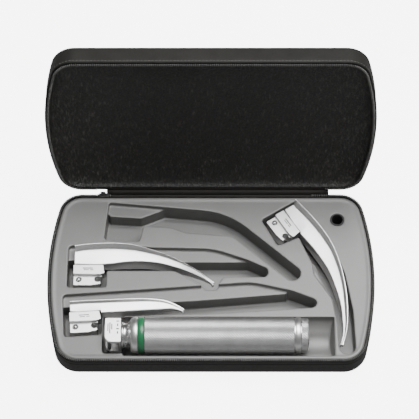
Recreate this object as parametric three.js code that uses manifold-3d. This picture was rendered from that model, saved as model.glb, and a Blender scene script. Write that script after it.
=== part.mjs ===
// Cased fibre-optic laryngoscope set: a zipped carrying case lying open, with a moulded insert
// that holds a battery handle and three curved hook-on blades, and one empty place.
// Millimetres, +Z up, +X to the right of the open case. The origin is the centre of the underside.
import * as THREE from 'three';
import { mergeVertices } from 'three/addons/utils/BufferGeometryUtils.js';
import Module from 'manifold-3d';

const wasm = await Module();
wasm.setup();

// ---------------------------------------------------------------- driving dimensions

// Case, measured at the rim of the base
const CASE_W = 260.2;
const CASE_L = 150.6;
const SIDE_R = 248;            // radius of the bowed short sides
const CORNER_R = 19;
const BASE_H = 23;             // height of the base's rim and of the insert's top face
const BASE_ROUND = 7;          // radius between the base's side wall and its underside
const WALL = 2;
const FIT = 0.4;               // gap between pieces that touch

// Zip: one row of teeth on each rim
const ZIP_H = 1.5;
const ZIP_OUT = 0.2;           // how far the zip stands proud of the wall
const ZIP_W = 2.6;
const ZIP_BACK_X = 92;         // the rows stop here on the hinge side, on both sides of x = 0

// Lid
const LID_H = 18;
const LID_ROUND = 5;
const LINING = 1.2;
const OPEN_DEG = 100.2;        // how far the lid is open at rest
const HINGE_OUT = 1;           // from the base's back wall to the hinge line
const HINGE_Y = CASE_L / 2 + HINGE_OUT;
const HINGE_Z = BASE_H + FIT + ZIP_H + 0.1;
const LID_RIM_Z = HINGE_Z + (HINGE_Z - BASE_H);
const STRIP_X = [-84.6, 95];   // ends of the leather hinge strip
const STRIP_T = 0.5;
const STRIP_Z = [BASE_ROUND, BASE_H - 2];

// Insert
const INSERT_GAP = 0.6;
const SHELF_DEPTH = 4.5;
const POCKET_DEPTH = 18;
const TROUGH_R = 17;
const TROUGH_END_X = 97.5;
const HEAD_POCKET = { x: [-85, -68], y: [-67.5, -34.5], depth: 17 };
const SOCKET = { x: 101.5, y: 52, r: 5.7, wall: 1.1, depth: 16 };

// Handle; its axis runs along X
const HANDLE_Y = -52.5;
const HANDLE_Z = BASE_H + 1.5;
const HANDLE_R = 14.2;
const HEAD_X = [-82.8, -70];
const HEAD_W = 21;             // across, along Y
const SLOT_W = 13;             // between the cheeks, along Z
const CHEEK_T = 3.2;
const HEAD_FLOOR = 2.2;
const PIN_R = 2.1;
const PIN_AT = { x: -79, y: HANDLE_Y - 7.6 };
const NECK_R = 9.5;
const SHOULDER_X = -62.2;
const RING_X = [-56.6, -52];
const TUBE_END_X = 65.5;
const TUBE_BORE = 13.4;
const CELL = { r: 13.1, length: 49.5 };
const BAND_X = [65.8, 70.5];
const CAP_END_X = 76.7;
const CAP_R = 13.6;
const PLUNGER_R = 3.6;
const PLUNGER_OUT = 2;

// Blades; each lies on its side with its web on top
const WEB_TOP = BASE_H + 0.5;
const PLATE_T = 1.6;
const STEP_DROP = 3.3;         // the hook step lies this far below the web
const BLOCK_W = 12.6;          // thickness of the hook step, which enters the head's slot
const BALL_R = 1.6;
const BALL_OUT = 0.8;
const GUIDE_R = 1.3;

// ---------------------------------------------------------------- materials

const finish = (color, roughness, metalness = 0) =>
  new THREE.MeshStandardMaterial({ color, roughness, metalness });
const leatherette = finish(0x23221f, 0.6);
const lidLining = finish(0x2c2b28, 0.75);
const zipNylon = finish(0x171614, 0.5);
const flock = finish(0xa5a4a2, 0.95);
const blackPlastic = finish(0x1b1b1b, 0.5);
const blackEnamel = finish(0x1a1a19, 0.35);
const chrome = finish(0xdadcdd, 0.12, 1);
const satinSteel = finish(0xd5d7d8, 0.3, 1);
const knurledSteel = finish(0xb9bbbd, 0.35, 1);
const springSteel = finish(0x8f9294, 0.35, 1);
const greenPlastic = finish(0x2f8a57, 0.4);
const cellWrap = finish(0xc9b27a, 0.4);
const glass = finish(0xe8f0f2, 0.05);
const rubber = finish(0x202020, 0.8);

// ---------------------------------------------------------------- solids

const group = new THREE.Group();

function addMesh(name, geometry, material, parent = group) {
  const mesh = new THREE.Mesh(geometry, material);
  mesh.name = name;
  parent.add(mesh);
  return mesh;
}

// Bare position geometry with shared corners merged.
function welded(geometry) {
  const bare = geometry.clone();
  bare.deleteAttribute('normal');
  bare.deleteAttribute('uv');
  return mergeVertices(bare, 1e-4);
}

function solid(geometry) {
  const source = welded(geometry);
  return new wasm.Manifold(new wasm.Mesh({
    numProp: 3,
    vertProperties: new Float32Array(source.attributes.position.array),
    triVerts: new Uint32Array(source.index.array),
  }));
}

function geometryOf(manifold) {
  const mesh = manifold.getMesh();
  const geometry = new THREE.BufferGeometry();
  geometry.setAttribute('position', new THREE.BufferAttribute(mesh.vertProperties, 3));
  geometry.setIndex(new THREE.BufferAttribute(mesh.triVerts, 1));
  return geometry;
}

// Closed skin over a row of rings. Each ring is a list of Vector3 with the same count, and
// capShape holds the ring's flat outline, which the two end caps are cut from.
function skin(rings, capShape) {
  const count = rings[0].length;
  const positions = rings.flat().flatMap((p) => [p.x, p.y, p.z]);
  const faces = [];
  for (let r = 0; r + 1 < rings.length; r += 1) {
    for (let i = 0; i < count; i += 1) {
      const j = (i + 1) % count;
      const a = r * count + i;
      const b = r * count + j;
      faces.push([a, b, b + count], [a, b + count, a + count]);
    }
  }
  const last = (rings.length - 1) * count;
  const clockwise = THREE.ShapeUtils.isClockWise(capShape);
  for (const cap of THREE.ShapeUtils.triangulateShape(capShape, [])) {
    const [a, b, c] = clockwise ? cap.toReversed() : cap;
    faces.push([c, b, a], [a + last, b + last, c + last]);
  }
  const volume = (face) => {
    const [a, b, c] = face.map((i) => new THREE.Vector3().fromArray(positions, i * 3));
    return a.dot(b.cross(c));
  };
  const inward = faces.reduce((sum, face) => sum + volume(face), 0) < 0;
  const geometry = new THREE.BufferGeometry();
  geometry.setAttribute('position', new THREE.Float32BufferAttribute(positions, 3));
  geometry.setIndex(faces.flatMap((face) => (inward ? face.reverse() : face)));
  return geometry;
}

// Outline through corners [x, y, radius], each corner rounded with an arc.
function roundedOutline(corners, segments = 6) {
  const points = [];
  corners.forEach(([x, y, radius = 0], i) => {
    const here = new THREE.Vector2(x, y);
    if (!radius) {
      points.push(here);
      return;
    }
    const [px, py] = corners[(i + corners.length - 1) % corners.length];
    const [nx, ny] = corners[(i + 1) % corners.length];
    const back = new THREE.Vector2(px, py).sub(here).normalize();
    const ahead = new THREE.Vector2(nx, ny).sub(here).normalize();
    const half = Math.acos(THREE.MathUtils.clamp(back.dot(ahead), -1, 1)) / 2;
    const centre = here.clone().add(back.clone().add(ahead).setLength(radius / Math.sin(half)));
    const start = here.clone().addScaledVector(back, radius / Math.tan(half)).sub(centre);
    const end = here.clone().addScaledVector(ahead, radius / Math.tan(half)).sub(centre);
    let sweep = end.angle() - start.angle();
    if (sweep > Math.PI) sweep -= 2 * Math.PI;
    if (sweep < -Math.PI) sweep += 2 * Math.PI;
    for (let k = 0; k <= segments; k += 1) {
      const arm = start.clone().rotateAround(new THREE.Vector2(), (sweep * k) / segments);
      points.push(arm.add(centre));
    }
  });
  return points;
}

function prism(points, z0, z1) {
  const shape = new THREE.Shape(points);
  const geometry = new THREE.ExtrudeGeometry(shape, { depth: z1 - z0, bevelEnabled: false });
  return geometry.translate(0, 0, z0);
}

// Lathe about the X axis from a closed profile of [x, radius] pairs.
function turned(profile, y = HANDLE_Y, z = HANDLE_Z, segments = 28) {
  const points = profile.map(([x, r]) => new THREE.Vector2(r, x));
  const first = points[0];
  if (first.x > 0) points.push(first.clone());
  const lathe = welded(new THREE.LatheGeometry(points, segments));
  return outward(lathe.rotateZ(-Math.PI / 2)).translate(0, y, z);
}

// Turns a closed mesh's faces out, whichever way its profile was drawn.
function outward(geometry) {
  const { array } = geometry.attributes.position;
  const index = Array.from(geometry.index.array);
  let sum = 0;
  for (let i = 0; i < index.length; i += 3) {
    const [a, b, c] = [0, 1, 2].map((k) => new THREE.Vector3().fromArray(array, index[i + k] * 3));
    sum += a.dot(b.cross(c));
  }
  if (sum < 0) index.reverse();
  geometry.setIndex(index);
  return geometry;
}

function tube(x0, x1, outer, inner, segments = 28) {
  return turned([[x0, inner], [x0, outer], [x1, outer], [x1, inner]], HANDLE_Y, HANDLE_Z, segments);
}

function rod(x0, x1, radius, segments = 28) {
  return turned([[x0, 0], [x0, radius], [x1, radius], [x1, 0]], HANDLE_Y, HANDLE_Z, segments);
}

const uprightCylinder = (x, y, z0, z1, r, segments = 24) =>
  new THREE.CylinderGeometry(r, r, z1 - z0, segments).rotateX(Math.PI / 2)
    .translate(x, y, (z0 + z1) / 2);

// ---------------------------------------------------------------- case outline

// Quarter of the case's plan from the middle of a short side to the front or back edge:
// the bowed side, then the corner arc.
function quarterOutline(inset) {
  const side = SIDE_R - inset;
  const corner = Math.max(CORNER_R - inset, 2);
  const sideCentre = CASE_W / 2 - SIDE_R;
  const cornerY = CASE_L / 2 - inset - corner;
  const cornerX = sideCentre + Math.sqrt((side - corner) ** 2 - cornerY ** 2);
  const turn = Math.atan2(cornerY, cornerX - sideCentre);
  const points = [];
  const sideSteps = 3;
  for (let i = 0; i < sideSteps; i += 1) {
    const a = (turn * i) / sideSteps;
    points.push(new THREE.Vector2(sideCentre + side * Math.cos(a), side * Math.sin(a)));
  }
  const cornerSteps = 5;
  for (let i = 0; i <= cornerSteps; i += 1) {
    const a = turn + ((Math.PI / 2 - turn) * i) / cornerSteps;
    points.push(new THREE.Vector2(cornerX + corner * Math.cos(a), cornerY + corner * Math.sin(a)));
  }
  return points;
}

// Whole outline, anticlockwise from the middle of the right side.
function caseOutline(inset) {
  const quarter = quarterOutline(inset);
  const flip = (sx, sy) => quarter.map((p) => new THREE.Vector2(p.x * sx, p.y * sy));
  return [
    ...flip(1, 1),
    ...flip(-1, 1).reverse().slice(0, -1),
    ...flip(-1, -1),
    ...flip(1, -1).reverse().slice(0, -1),
  ];
}

const ringAt = (inset, z) => caseOutline(inset).map((p) => new THREE.Vector3(p.x, p.y, z));

// Rings down a wall that ends in a rounded edge of the given radius, over a flat at z = flat.
// up is 1 when the wall stands above the flat and -1 when it hangs below it.
function wallRings(inset, rimZ, flat, radius, up, steps = 4) {
  const rings = [ringAt(inset, rimZ)];
  for (let i = 0; i <= steps; i += 1) {
    const a = ((Math.PI / 2) * i) / steps;
    const rise = radius * (1 - Math.sin(a));
    rings.push(ringAt(inset + radius * (1 - Math.cos(a)), flat + up * rise));
  }
  return rings;
}

function shell(rimZ, flat, radius, wall, inset, up) {
  const outer = wallRings(inset, rimZ, flat, radius, up);
  const innerRadius = radius - wall;
  const inner = wallRings(inset + wall, rimZ, flat + up * wall, innerRadius, up);
  return skin([...outer.reverse(), ...inner], caseOutline(inset));
}

// Bar along the rim, round the front from one end of the hinge side to the other.
function rimBar(insetOuter, insetInner, z0, z1, backX) {
  const open = (inset) => {
    const loop = caseOutline(inset);
    const start = quarterOutline(inset).length;
    const path = [...loop.slice(start), ...loop.slice(0, start)];
    const edge = CASE_L / 2 - inset;
    return [new THREE.Vector2(-backX, edge), ...path, new THREE.Vector2(backX, edge)];
  };
  const outer = open(insetOuter);
  const inner = open(insetInner);
  const rings = outer.map((p, i) => [
    new THREE.Vector3(p.x, p.y, z0), new THREE.Vector3(p.x, p.y, z1),
    new THREE.Vector3(inner[i].x, inner[i].y, z1), new THREE.Vector3(inner[i].x, inner[i].y, z0),
  ]);
  const section = [[0, 0], [0, 1], [1, 1], [1, 0]].map(([x, y]) => new THREE.Vector2(x, y));
  return skin(rings, section);
}

// ---------------------------------------------------------------- case base

addMesh('case_base_shell', shell(BASE_H, 0, BASE_ROUND, WALL, 0, 1), leatherette);
addMesh('zip_row_base',
  rimBar(-ZIP_OUT, ZIP_W - ZIP_OUT, BASE_H + FIT, BASE_H + FIT + ZIP_H, ZIP_BACK_X), zipNylon);

const strip = new THREE.BoxGeometry(STRIP_X[1] - STRIP_X[0], STRIP_T, STRIP_Z[1] - STRIP_Z[0]);
strip.translate((STRIP_X[0] + STRIP_X[1]) / 2, CASE_L / 2 + FIT + STRIP_T / 2,
  (STRIP_Z[0] + STRIP_Z[1]) / 2);
addMesh('hinge_strip', strip, leatherette);

// ---------------------------------------------------------------- insert

// Places for the blades, as outlines in the insert's top face. A pocket's shelf is the part
// that is only as deep as a blade's web; the rest of it takes the spatula and the block.
const LARGE_PLACE = [
  [-82.5, 68, 2], [-86, 34, 2.5], [-57.5, 32.3, 2.5], [-54.5, 46.5, 1], [-32, 45, 8],
  [-20, 40.3, 6], [17, 37.3, 4], [65.3, -5.6, 6.3], [74, 4.1, 6.3], [13.3, 58.8, 60],
];
const LARGE_SHELF = [[-90, 72], [-81.5, 57.3], [-56.5, 55.6], [-38, 63.5], [-38, 72]];

const MEDIUM_PLACE = [
  [-114, 28, 3], [-114.5, -9.5, 2.5], [-83, -9.5, 2.5], [-83, 5.8, 1], [-29, 5.8, 14],
  [-4, -9.8, 3], [3, -9.8, 3], [9.5, 0, 3], [45.5, 0, 4.5], [45.5, 7.5, 4], [29, 15.6, 40],
  [2, 25.5, 60], [-45, 26.5, 40], [-90, 30, 40],
];
const MEDIUM_SHELF = [[-120, 35], [-120, 17], [-40, 17], [-20, 15.3], [29, 15.3], [29, 35]];

const SMALL_PLACE = [
  [-117.5, -16, 3], [-115.3, -53.2, 2.5], [-85.5, -50.8, 2.5], [-85.5, -35.5, 1], [5, -32.2, 8],
  [81, -27, 5], [87, -21.5, 4], [64, -12, 20], [32, -4.6, 40], [-50, -11, 20],
];
const SMALL_SHELF = [[-122, -8], [-122, -25.5], [-12, -19.3], [60, -13], [60, 0]];

const WIDE_PLACE = [
  [40.5, 52, 2], [53.5, 28.3, 2.5], [70.5, 36.2, 1], [81, 11.5, 3], [81.7, 3, 3], [96, -19.5, 10],
  [99.5, -42, 20], [100.6, -67.5, 6.2], [113.6, -67.5, 6.2], [112.2, -30, 60], [106, 6, 80],
  [92, 38.5, 80], [67.5, 69, 2],
];
const WIDE_SHELF = [[60, 62.5], [72, 42], [87, 27], [88, 60], [67, 75]];

function pocket(outline, shelf) {
  const plan = roundedOutline(outline);
  const top = BASE_H + 1;
  const whole = solid(prism(plan, BASE_H - POCKET_DEPTH, top));
  const shelfPoints = shelf.map(([x, y]) => new THREE.Vector2(x, y));
  const ledge = solid(prism(shelfPoints, 0, BASE_H - SHELF_DEPTH));
  return whole.subtract(ledge);
}

function insert() {
  const inset = WALL + INSERT_GAP;
  const rings = wallRings(inset, BASE_H, WALL + INSERT_GAP, BASE_ROUND - inset, 1);
  let body = solid(skin(rings.reverse(), caseOutline(inset)));
  body = body.subtract(pocket(LARGE_PLACE, LARGE_SHELF));
  body = body.subtract(pocket(MEDIUM_PLACE, MEDIUM_SHELF));
  body = body.subtract(pocket(SMALL_PLACE, SMALL_SHELF));
  body = body.subtract(pocket(WIDE_PLACE, WIDE_SHELF));
  const [headX, headY] = [HEAD_POCKET.x, HEAD_POCKET.y];
  const headPlan = roundedOutline([
    [headX[0], headY[0], 2.5], [headX[1], headY[0], 0], [headX[1], headY[1], 0],
    [headX[0], headY[1], 2.5],
  ]);
  body = body.subtract(solid(prism(headPlan, BASE_H - HEAD_POCKET.depth, BASE_H + 1)));
  const trough = turned([[headX[1] - 1, 0], [headX[1] - 1, TROUGH_R], [TROUGH_END_X, TROUGH_R],
    [TROUGH_END_X, 0]], HANDLE_Y, BASE_H, 40);
  body = body.subtract(solid(trough));
  const hole = uprightCylinder(SOCKET.x, SOCKET.y, BASE_H - SOCKET.depth, BASE_H + 1, SOCKET.r);
  return body.subtract(solid(hole));
}
addMesh('insert_tray', geometryOf(insert()), flock);

const linerOuter = SOCKET.r - 0.3;
const linerZ = [BASE_H - SOCKET.depth + FIT, BASE_H];
const liner = solid(uprightCylinder(SOCKET.x, SOCKET.y, ...linerZ, linerOuter))
  .subtract(solid(uprightCylinder(SOCKET.x, SOCKET.y, linerZ[0] + 1, linerZ[1] + 1,
    linerOuter - SOCKET.wall)));
addMesh('spare_lamp_socket', geometryOf(liner), blackPlastic);

// ---------------------------------------------------------------- zip slider

// The slider waits at the left end of the rows, and its pull hangs over the outside.
const SLIDER = { x: [-91.4, -82.4], width: 3.6, height: 1.9 };
const PULL = { x: -87.6, width: 5, length: 13, t: 1, eye: 1.1 };
const sliderY = CASE_L / 2 - 1.6;
const sliderPlan = roundedOutline([
  [SLIDER.x[0], sliderY - SLIDER.width / 2, 1], [SLIDER.x[1], sliderY - SLIDER.width / 2, 1.6],
  [SLIDER.x[1], sliderY + SLIDER.width / 2, 1.6], [SLIDER.x[0], sliderY + SLIDER.width / 2, 1],
], 4);
addMesh('zip_slider', prism(sliderPlan, BASE_H + FIT, BASE_H + FIT + SLIDER.height),
  blackEnamel);

const pullTop = BASE_H + FIT + SLIDER.height;
const pullY = sliderY + SLIDER.width / 2 + FIT + PULL.t / 2;
const pullPlan = roundedOutline([
  [-PULL.width / 2, 0, 1.5], [PULL.width / 2, 0, 1.5],
  [PULL.width / 2, -PULL.length, 2.4], [-PULL.width / 2, -PULL.length, 2.4],
], 4);
const pullEye = uprightCylinder(0, -2.4, -1, PULL.t + 1, PULL.eye, 12);
const pull = geometryOf(solid(prism(pullPlan, 0, PULL.t)).subtract(solid(pullEye)));
pull.rotateX(Math.PI / 2).translate(PULL.x, pullY + PULL.t / 2, pullTop);
addMesh('zip_pull', pull, blackEnamel);

// ---------------------------------------------------------------- lid

// Modelled closed, then turned open about the hinge.
const lid = new THREE.Group();
const lidPivot = new THREE.Group();
lidPivot.position.set(0, HINGE_Y, HINGE_Z);
lidPivot.rotation.x = -THREE.MathUtils.degToRad(OPEN_DEG);
lid.position.set(0, -HINGE_Y, -HINGE_Z);
lidPivot.add(lid);
group.add(lidPivot);

const LID_TOP = LID_RIM_Z + LID_H;
addMesh('case_lid_shell', shell(LID_RIM_Z, LID_TOP, LID_ROUND, WALL, 0, -1), leatherette, lid);
addMesh('lid_lining', shell(LID_RIM_Z, LID_TOP - WALL - FIT, LID_ROUND - WALL - FIT, LINING,
  WALL + FIT, -1), lidLining, lid);
addMesh('zip_row_lid',
  rimBar(-ZIP_OUT, ZIP_W - ZIP_OUT, LID_RIM_Z - FIT - ZIP_H, LID_RIM_Z - FIT, ZIP_BACK_X + 8),
  zipNylon, lid);

// ---------------------------------------------------------------- handle

function handleHead() {
  const [x0, x1] = HEAD_X;
  const half = HEAD_W / 2;
  const outer = SLOT_W / 2 + CHEEK_T;
  const plan = roundedOutline([
    [x0, HANDLE_Y - half, 5.5], [x1, HANDLE_Y - half, 0], [x1, HANDLE_Y + half, 0],
    [x0, HANDLE_Y + half, 1],
  ]);
  const body = solid(prism(plan, HANDLE_Z - outer, HANDLE_Z + outer));
  const slot = new THREE.BoxGeometry(x1 - x0 - HEAD_FLOOR + 2, HEAD_W + 2, SLOT_W);
  slot.translate((x0 + x1 - HEAD_FLOOR - 2) / 2, HANDLE_Y, HANDLE_Z);
  const bore = rod(x0 - 1, x1 + 1, PLUNGER_R + FIT, 24);
  const pinHole = uprightCylinder(PIN_AT.x, PIN_AT.y, HANDLE_Z - outer + 1.2,
    HANDLE_Z + outer - 1.2, PIN_R + 0.3, 16);
  return geometryOf(body.subtract(solid(slot)).subtract(solid(bore)).subtract(solid(pinHole)));
}
addMesh('handle_head', handleHead(), chrome);

const pinHalf = SLOT_W / 2 + CHEEK_T - 1.6;
addMesh('hook_pin', uprightCylinder(PIN_AT.x, PIN_AT.y, HANDLE_Z - pinHalf, HANDLE_Z + pinHalf,
  PIN_R, 16), chrome);

const [, neckStart] = HEAD_X;
addMesh('handle_neck', turned([
  [neckStart + 0.3, PLUNGER_R + 0.9], [neckStart + 0.3, NECK_R + 0.9], [neckStart + 1.2, NECK_R + 0.9],
  [neckStart + 2.4, NECK_R], [neckStart + 4.2, NECK_R + 0.4], [SHOULDER_X - 1.6, NECK_R + 2],
  [SHOULDER_X - 0.4, HANDLE_R - 1.1], [SHOULDER_X + 1, HANDLE_R - 0.2], [SHOULDER_X + 2.2, HANDLE_R],
  [RING_X[0] - 0.3, HANDLE_R], [RING_X[0] - 0.3, PLUNGER_R + 0.9],
]), chrome);

const plungerX = [HEAD_X[1] - HEAD_FLOOR - PLUNGER_OUT, SHOULDER_X + 1];
addMesh('lamp_plunger', turned([
  [plungerX[0] + 1.2, 1.6], [plungerX[0], 1.6], [plungerX[0], PLUNGER_R], [plungerX[1], PLUNGER_R],
  [plungerX[1], 1.6],
], HANDLE_Y, HANDLE_Z, 20), blackPlastic);
addMesh('handle_lamp', turned([
  [plungerX[0] + 0.3, 0], [plungerX[0] + 0.6, 1], [plungerX[0] + 1.4, 1.3], [plungerX[1] - 1, 1.3],
  [plungerX[1] - 1, 0],
], HANDLE_Y, HANDLE_Z, 14), glass);
addMesh('plunger_spring', tube(plungerX[1] + FIT, RING_X[0] - FIT, 3.2, 2.4, 16), springSteel);

addMesh('green_ring', tube(...RING_X, HANDLE_R + 0.1, 12.9), greenPlastic);
addMesh('contact_base', turned([
  [RING_X[0], 0], [RING_X[0], 12.5], [RING_X[1] + 3.4, 12.5], [RING_X[1] + 3.4, 0],
]), blackPlastic);
addMesh('handle_tube', tube(RING_X[1] + 0.3, TUBE_END_X, HANDLE_R, TUBE_BORE), knurledSteel);

const cellStart = RING_X[1] + 4;
for (let i = 0; i < 2; i += 1) {
  const x = cellStart + i * (CELL.length + 0.4);
  const cell = turned([
    [x, 0], [x, 3.2], [x + 1.6, 3.2], [x + 1.6, CELL.r], [x + CELL.length, CELL.r],
    [x + CELL.length, 0],
  ], HANDLE_Y, HANDLE_Z, 20);
  addMesh(`battery_${i + 1}`, cell, cellWrap);
}

const springStart = cellStart + 2 * (CELL.length + 0.4);
const CAP_SEAT_X = 62.5;
addMesh('battery_spring', turned([
  [springStart, 3.4], [springStart, 4.4], [CAP_SEAT_X - 0.4, 9.4], [CAP_SEAT_X - 0.4, 8.4],
], HANDLE_Y, HANDLE_Z, 16), springSteel);
addMesh('tube_end_band', tube(...BAND_X, HANDLE_R, TUBE_BORE), chrome);

const GROOVE_X = [67.6, 69.2];
addMesh('end_cap', turned([
  [CAP_SEAT_X, 0], [CAP_SEAT_X, 13], [GROOVE_X[0], 13], [GROOVE_X[0], 12], [GROOVE_X[1], 12],
  [GROOVE_X[1], 13], [BAND_X[1] + 0.3, 13], [BAND_X[1] + 0.3, CAP_R], [CAP_END_X - 1.2, CAP_R],
  [CAP_END_X, CAP_R - 1.4], [CAP_END_X, 0],
]), knurledSteel);
addMesh('cap_seal', tube(GROOVE_X[0] + 0.3, GROOVE_X[1] - 0.3, 13.1, 12.3, 20), rubber);

// ---------------------------------------------------------------- blades

// Side profile of each blade in its own frame: the block's back lower corner is at (0, 0) and
// the tip lies towards +x. The back curve is the web's outer edge, under the flange, and the
// belly curve is the line of the spatula. Both meet at the tip.
const BLADES = {
  blade_3: {
    at: [44.5, 51.5], turn: -56.6, flange: 8, spatula: 14.5, guideEnd: 0.62,
    back: [[0.5, 28.2], [18, 30.2], [35, 30.9], [50, 29.6], [63, 26.4], [75, 22.4], [89, 16.3],
      [102, 8.8], [114, 0.2], [121, -6.6], [126, -12.4]],
    belly: [[0.5, 17.2], [23.6, 15.6], [39.6, 16.6], [57.6, 16.4], [68.7, 14.8], [78, 12.2],
      [88, 9], [97.5, 5], [108, -0.8], [117, -6.4], [124.4, -13.2]],
  },
  blade_2: {
    at: [-109.5, -6], turn: 0, flange: 7.4, spatula: 13, guideEnd: 0.62,
    back: [[1, 30.5], [9.5, 31.8], [19.5, 32.5], [29.5, 32.8], [39.5, 32.3], [49.5, 31],
      [59.5, 28.5], [69.5, 25.5], [79.5, 21.6], [89.5, 16.6], [99.5, 10.6], [112, 0.6]],
    belly: [[1, 17], [18, 16.6], [29.5, 17.4], [39.5, 18.8], [49.5, 19.5], [59.5, 19.2],
      [69.5, 17.8], [79.5, 15], [89.5, 11.4], [99.5, 6.6], [105.5, 3], [110.8, -0.8]],
  },
  blade_1: {
    at: [-110.5, -48.5], turn: 4, flange: 2.6, spatula: 11, guideEnd: 0.6,
    back: [[1, 25.4], [12, 25.4], [22, 25.2], [32, 25], [42, 24.8], [52, 24.5], [62, 24],
      [72, 22.5], [78, 20.8], [83, 18.4], [87, 15.9], [90.6, 13.2]],
    belly: [[1, 17], [18, 14.4], [27, 14.4], [36, 14.4], [45, 14.4], [53, 14.4], [61, 14.4],
      [68, 14.4], [74, 14.4], [80, 14.2], [84.5, 13.4], [89.2, 11.6]],
  },
};

const curveThrough = (points) =>
  new THREE.SplineCurve(points.map(([x, y]) => new THREE.Vector2(x, y)));

// Z-shaped plate: spatula hanging from the belly curve, web across to the back curve, and
// flange standing on it. The last stations close to a plain strip at the tip.
function bladePlate(blade) {
  const back = curveThrough(blade.back);
  const belly = curveThrough(blade.belly);
  const stations = 22;
  const rings = [];
  for (let i = 0; i <= stations; i += 1) {
    const t = i / stations;
    const from = belly.getPoint(t);
    const across = back.getPoint(t).sub(from);
    const width = Math.max(across.length(), PLATE_T + 0.5);
    across.setLength(1);
    const flange = Math.max(blade.flange * Math.min(1, 1.7 * (1 - t)), 0.3);
    const depth = blade.spatula * Math.min(1, 0.55 + 1.4 * t);
    const at = (u, z) => new THREE.Vector3(from.x + across.x * u, from.y + across.y * u, z);
    rings.push([
      at(0, -depth), at(0, 0), at(width - PLATE_T, 0), at(width - PLATE_T, flange),
      at(width, flange), at(width, -PLATE_T), at(PLATE_T, -PLATE_T), at(PLATE_T, -depth),
    ]);
  }
  const section = [[0, -9], [0, 0], [8, 0], [8, 5], [9, 5], [9, -1], [1, -1], [1, -9]]
    .map(([x, y]) => new THREE.Vector2(x, y));
  const plate = solid(skin(rings, section));
  const tip = belly.getPoint(1);
  const bead = uprightCylinder(tip.x, tip.y, -blade.spatula, -0.1, 1.5, 12);
  return plate.add(solid(bead));
}

// Block: an upper step flush with the web, and below it the hook step with its open notch.
const BLOCK = {
  step: [[0, 8.6, 0], [21, 8.2, 0], [24.8, 9.4, 1], [23.6, 16.6, 0], [0, 16.6, 0]],
  hook: [[0, 0, 0.8], [14, 0, 3], [21.4, 1.2, 0.8], [21.4, 3.4, 0.8], [19, 3.6, 0],
    [19, 7.4, 0], [22.4, 7.6, 0.6], [22.4, 10, 0], [0, 10, 0]],
  notch: { x: 19, y: 5.5, r: 2.4 },
  ball: { x: 4.2, y: 5.2 },
};

function bladeBlock() {
  const floor = -STEP_DROP - BLOCK_W;
  const step = solid(prism(roundedOutline(BLOCK.step, 3), -STEP_DROP - 5, 0));
  const hook = solid(prism(roundedOutline(BLOCK.hook, 3), floor, -STEP_DROP));
  const { notch, ball } = BLOCK;
  const notchCut = uprightCylinder(notch.x, notch.y, floor - 1, -STEP_DROP + 1, notch.r, 20);
  const ballBore = uprightCylinder(ball.x, ball.y, floor + 2, -STEP_DROP + 1, BALL_R + 0.2, 16);
  return step.add(hook).subtract(solid(notchCut)).subtract(solid(ballBore));
}

for (const [name, blade] of Object.entries(BLADES)) {
  const place = new THREE.Group();
  place.position.set(blade.at[0], blade.at[1], WEB_TOP);
  place.rotation.z = THREE.MathUtils.degToRad(blade.turn);
  group.add(place);

  const { ball } = BLOCK;
  const clearance = new THREE.BoxGeometry(26.4, 17.8, 40).translate(12, 8, -18);
  const plate = bladePlate(blade).subtract(solid(clearance));
  addMesh(`${name}_plate`, geometryOf(plate), satinSteel, place);
  addMesh(`${name}_block`, geometryOf(bladeBlock()), chrome, place);

  const ballZ = -STEP_DROP + BALL_OUT - BALL_R;
  const sphere = new THREE.SphereGeometry(BALL_R, 10, 8).rotateX(Math.PI / 2);
  addMesh(`${name}_ball`, sphere.translate(ball.x, ball.y, ballZ), chrome, place);
  const springZ = [-STEP_DROP - BLOCK_W + 2.4, ballZ - BALL_R - FIT];
  const coil = solid(uprightCylinder(ball.x, ball.y, ...springZ, 1.4, 12))
    .subtract(solid(uprightCylinder(ball.x, ball.y, springZ[0] - 1, springZ[1] + 1, 0.9, 12)));
  addMesh(`${name}_ball_spring`, geometryOf(coil), springSteel, place);

  // The guide lies against the underside of the web, a third of the way up from the belly.
  const back = curveThrough(blade.back);
  const belly = curveThrough(blade.belly);
  const guideZ = -PLATE_T - FIT - GUIDE_R;
  const route = [];
  for (let t = 0.24; t <= blade.guideEnd + 1e-6; t += (blade.guideEnd - 0.24) / 8) {
    const p = belly.getPoint(t).lerp(back.getPoint(t), 0.42);
    route.push(new THREE.Vector3(p.x, p.y, guideZ));
  }
  const circle = new THREE.Shape().absarc(0, 0, GUIDE_R, 0, 2 * Math.PI);
  const guide = new THREE.ExtrudeGeometry(circle, {
    steps: 12, curveSegments: 4, bevelEnabled: false,
    extrudePath: new THREE.CatmullRomCurve3(route),
  });
  addMesh(`${name}_light_guide`, guide, satinSteel, place);
}

export default group;
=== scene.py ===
"""Looks of the cased fibre-optic laryngoscope set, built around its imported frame.

Sizes here are millimetres in the frame's axes; build() turns them into Blender's metres.
"""
import math

import bmesh
import bpy
import numpy as np
from mathutils import Matrix, Vector


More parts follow.
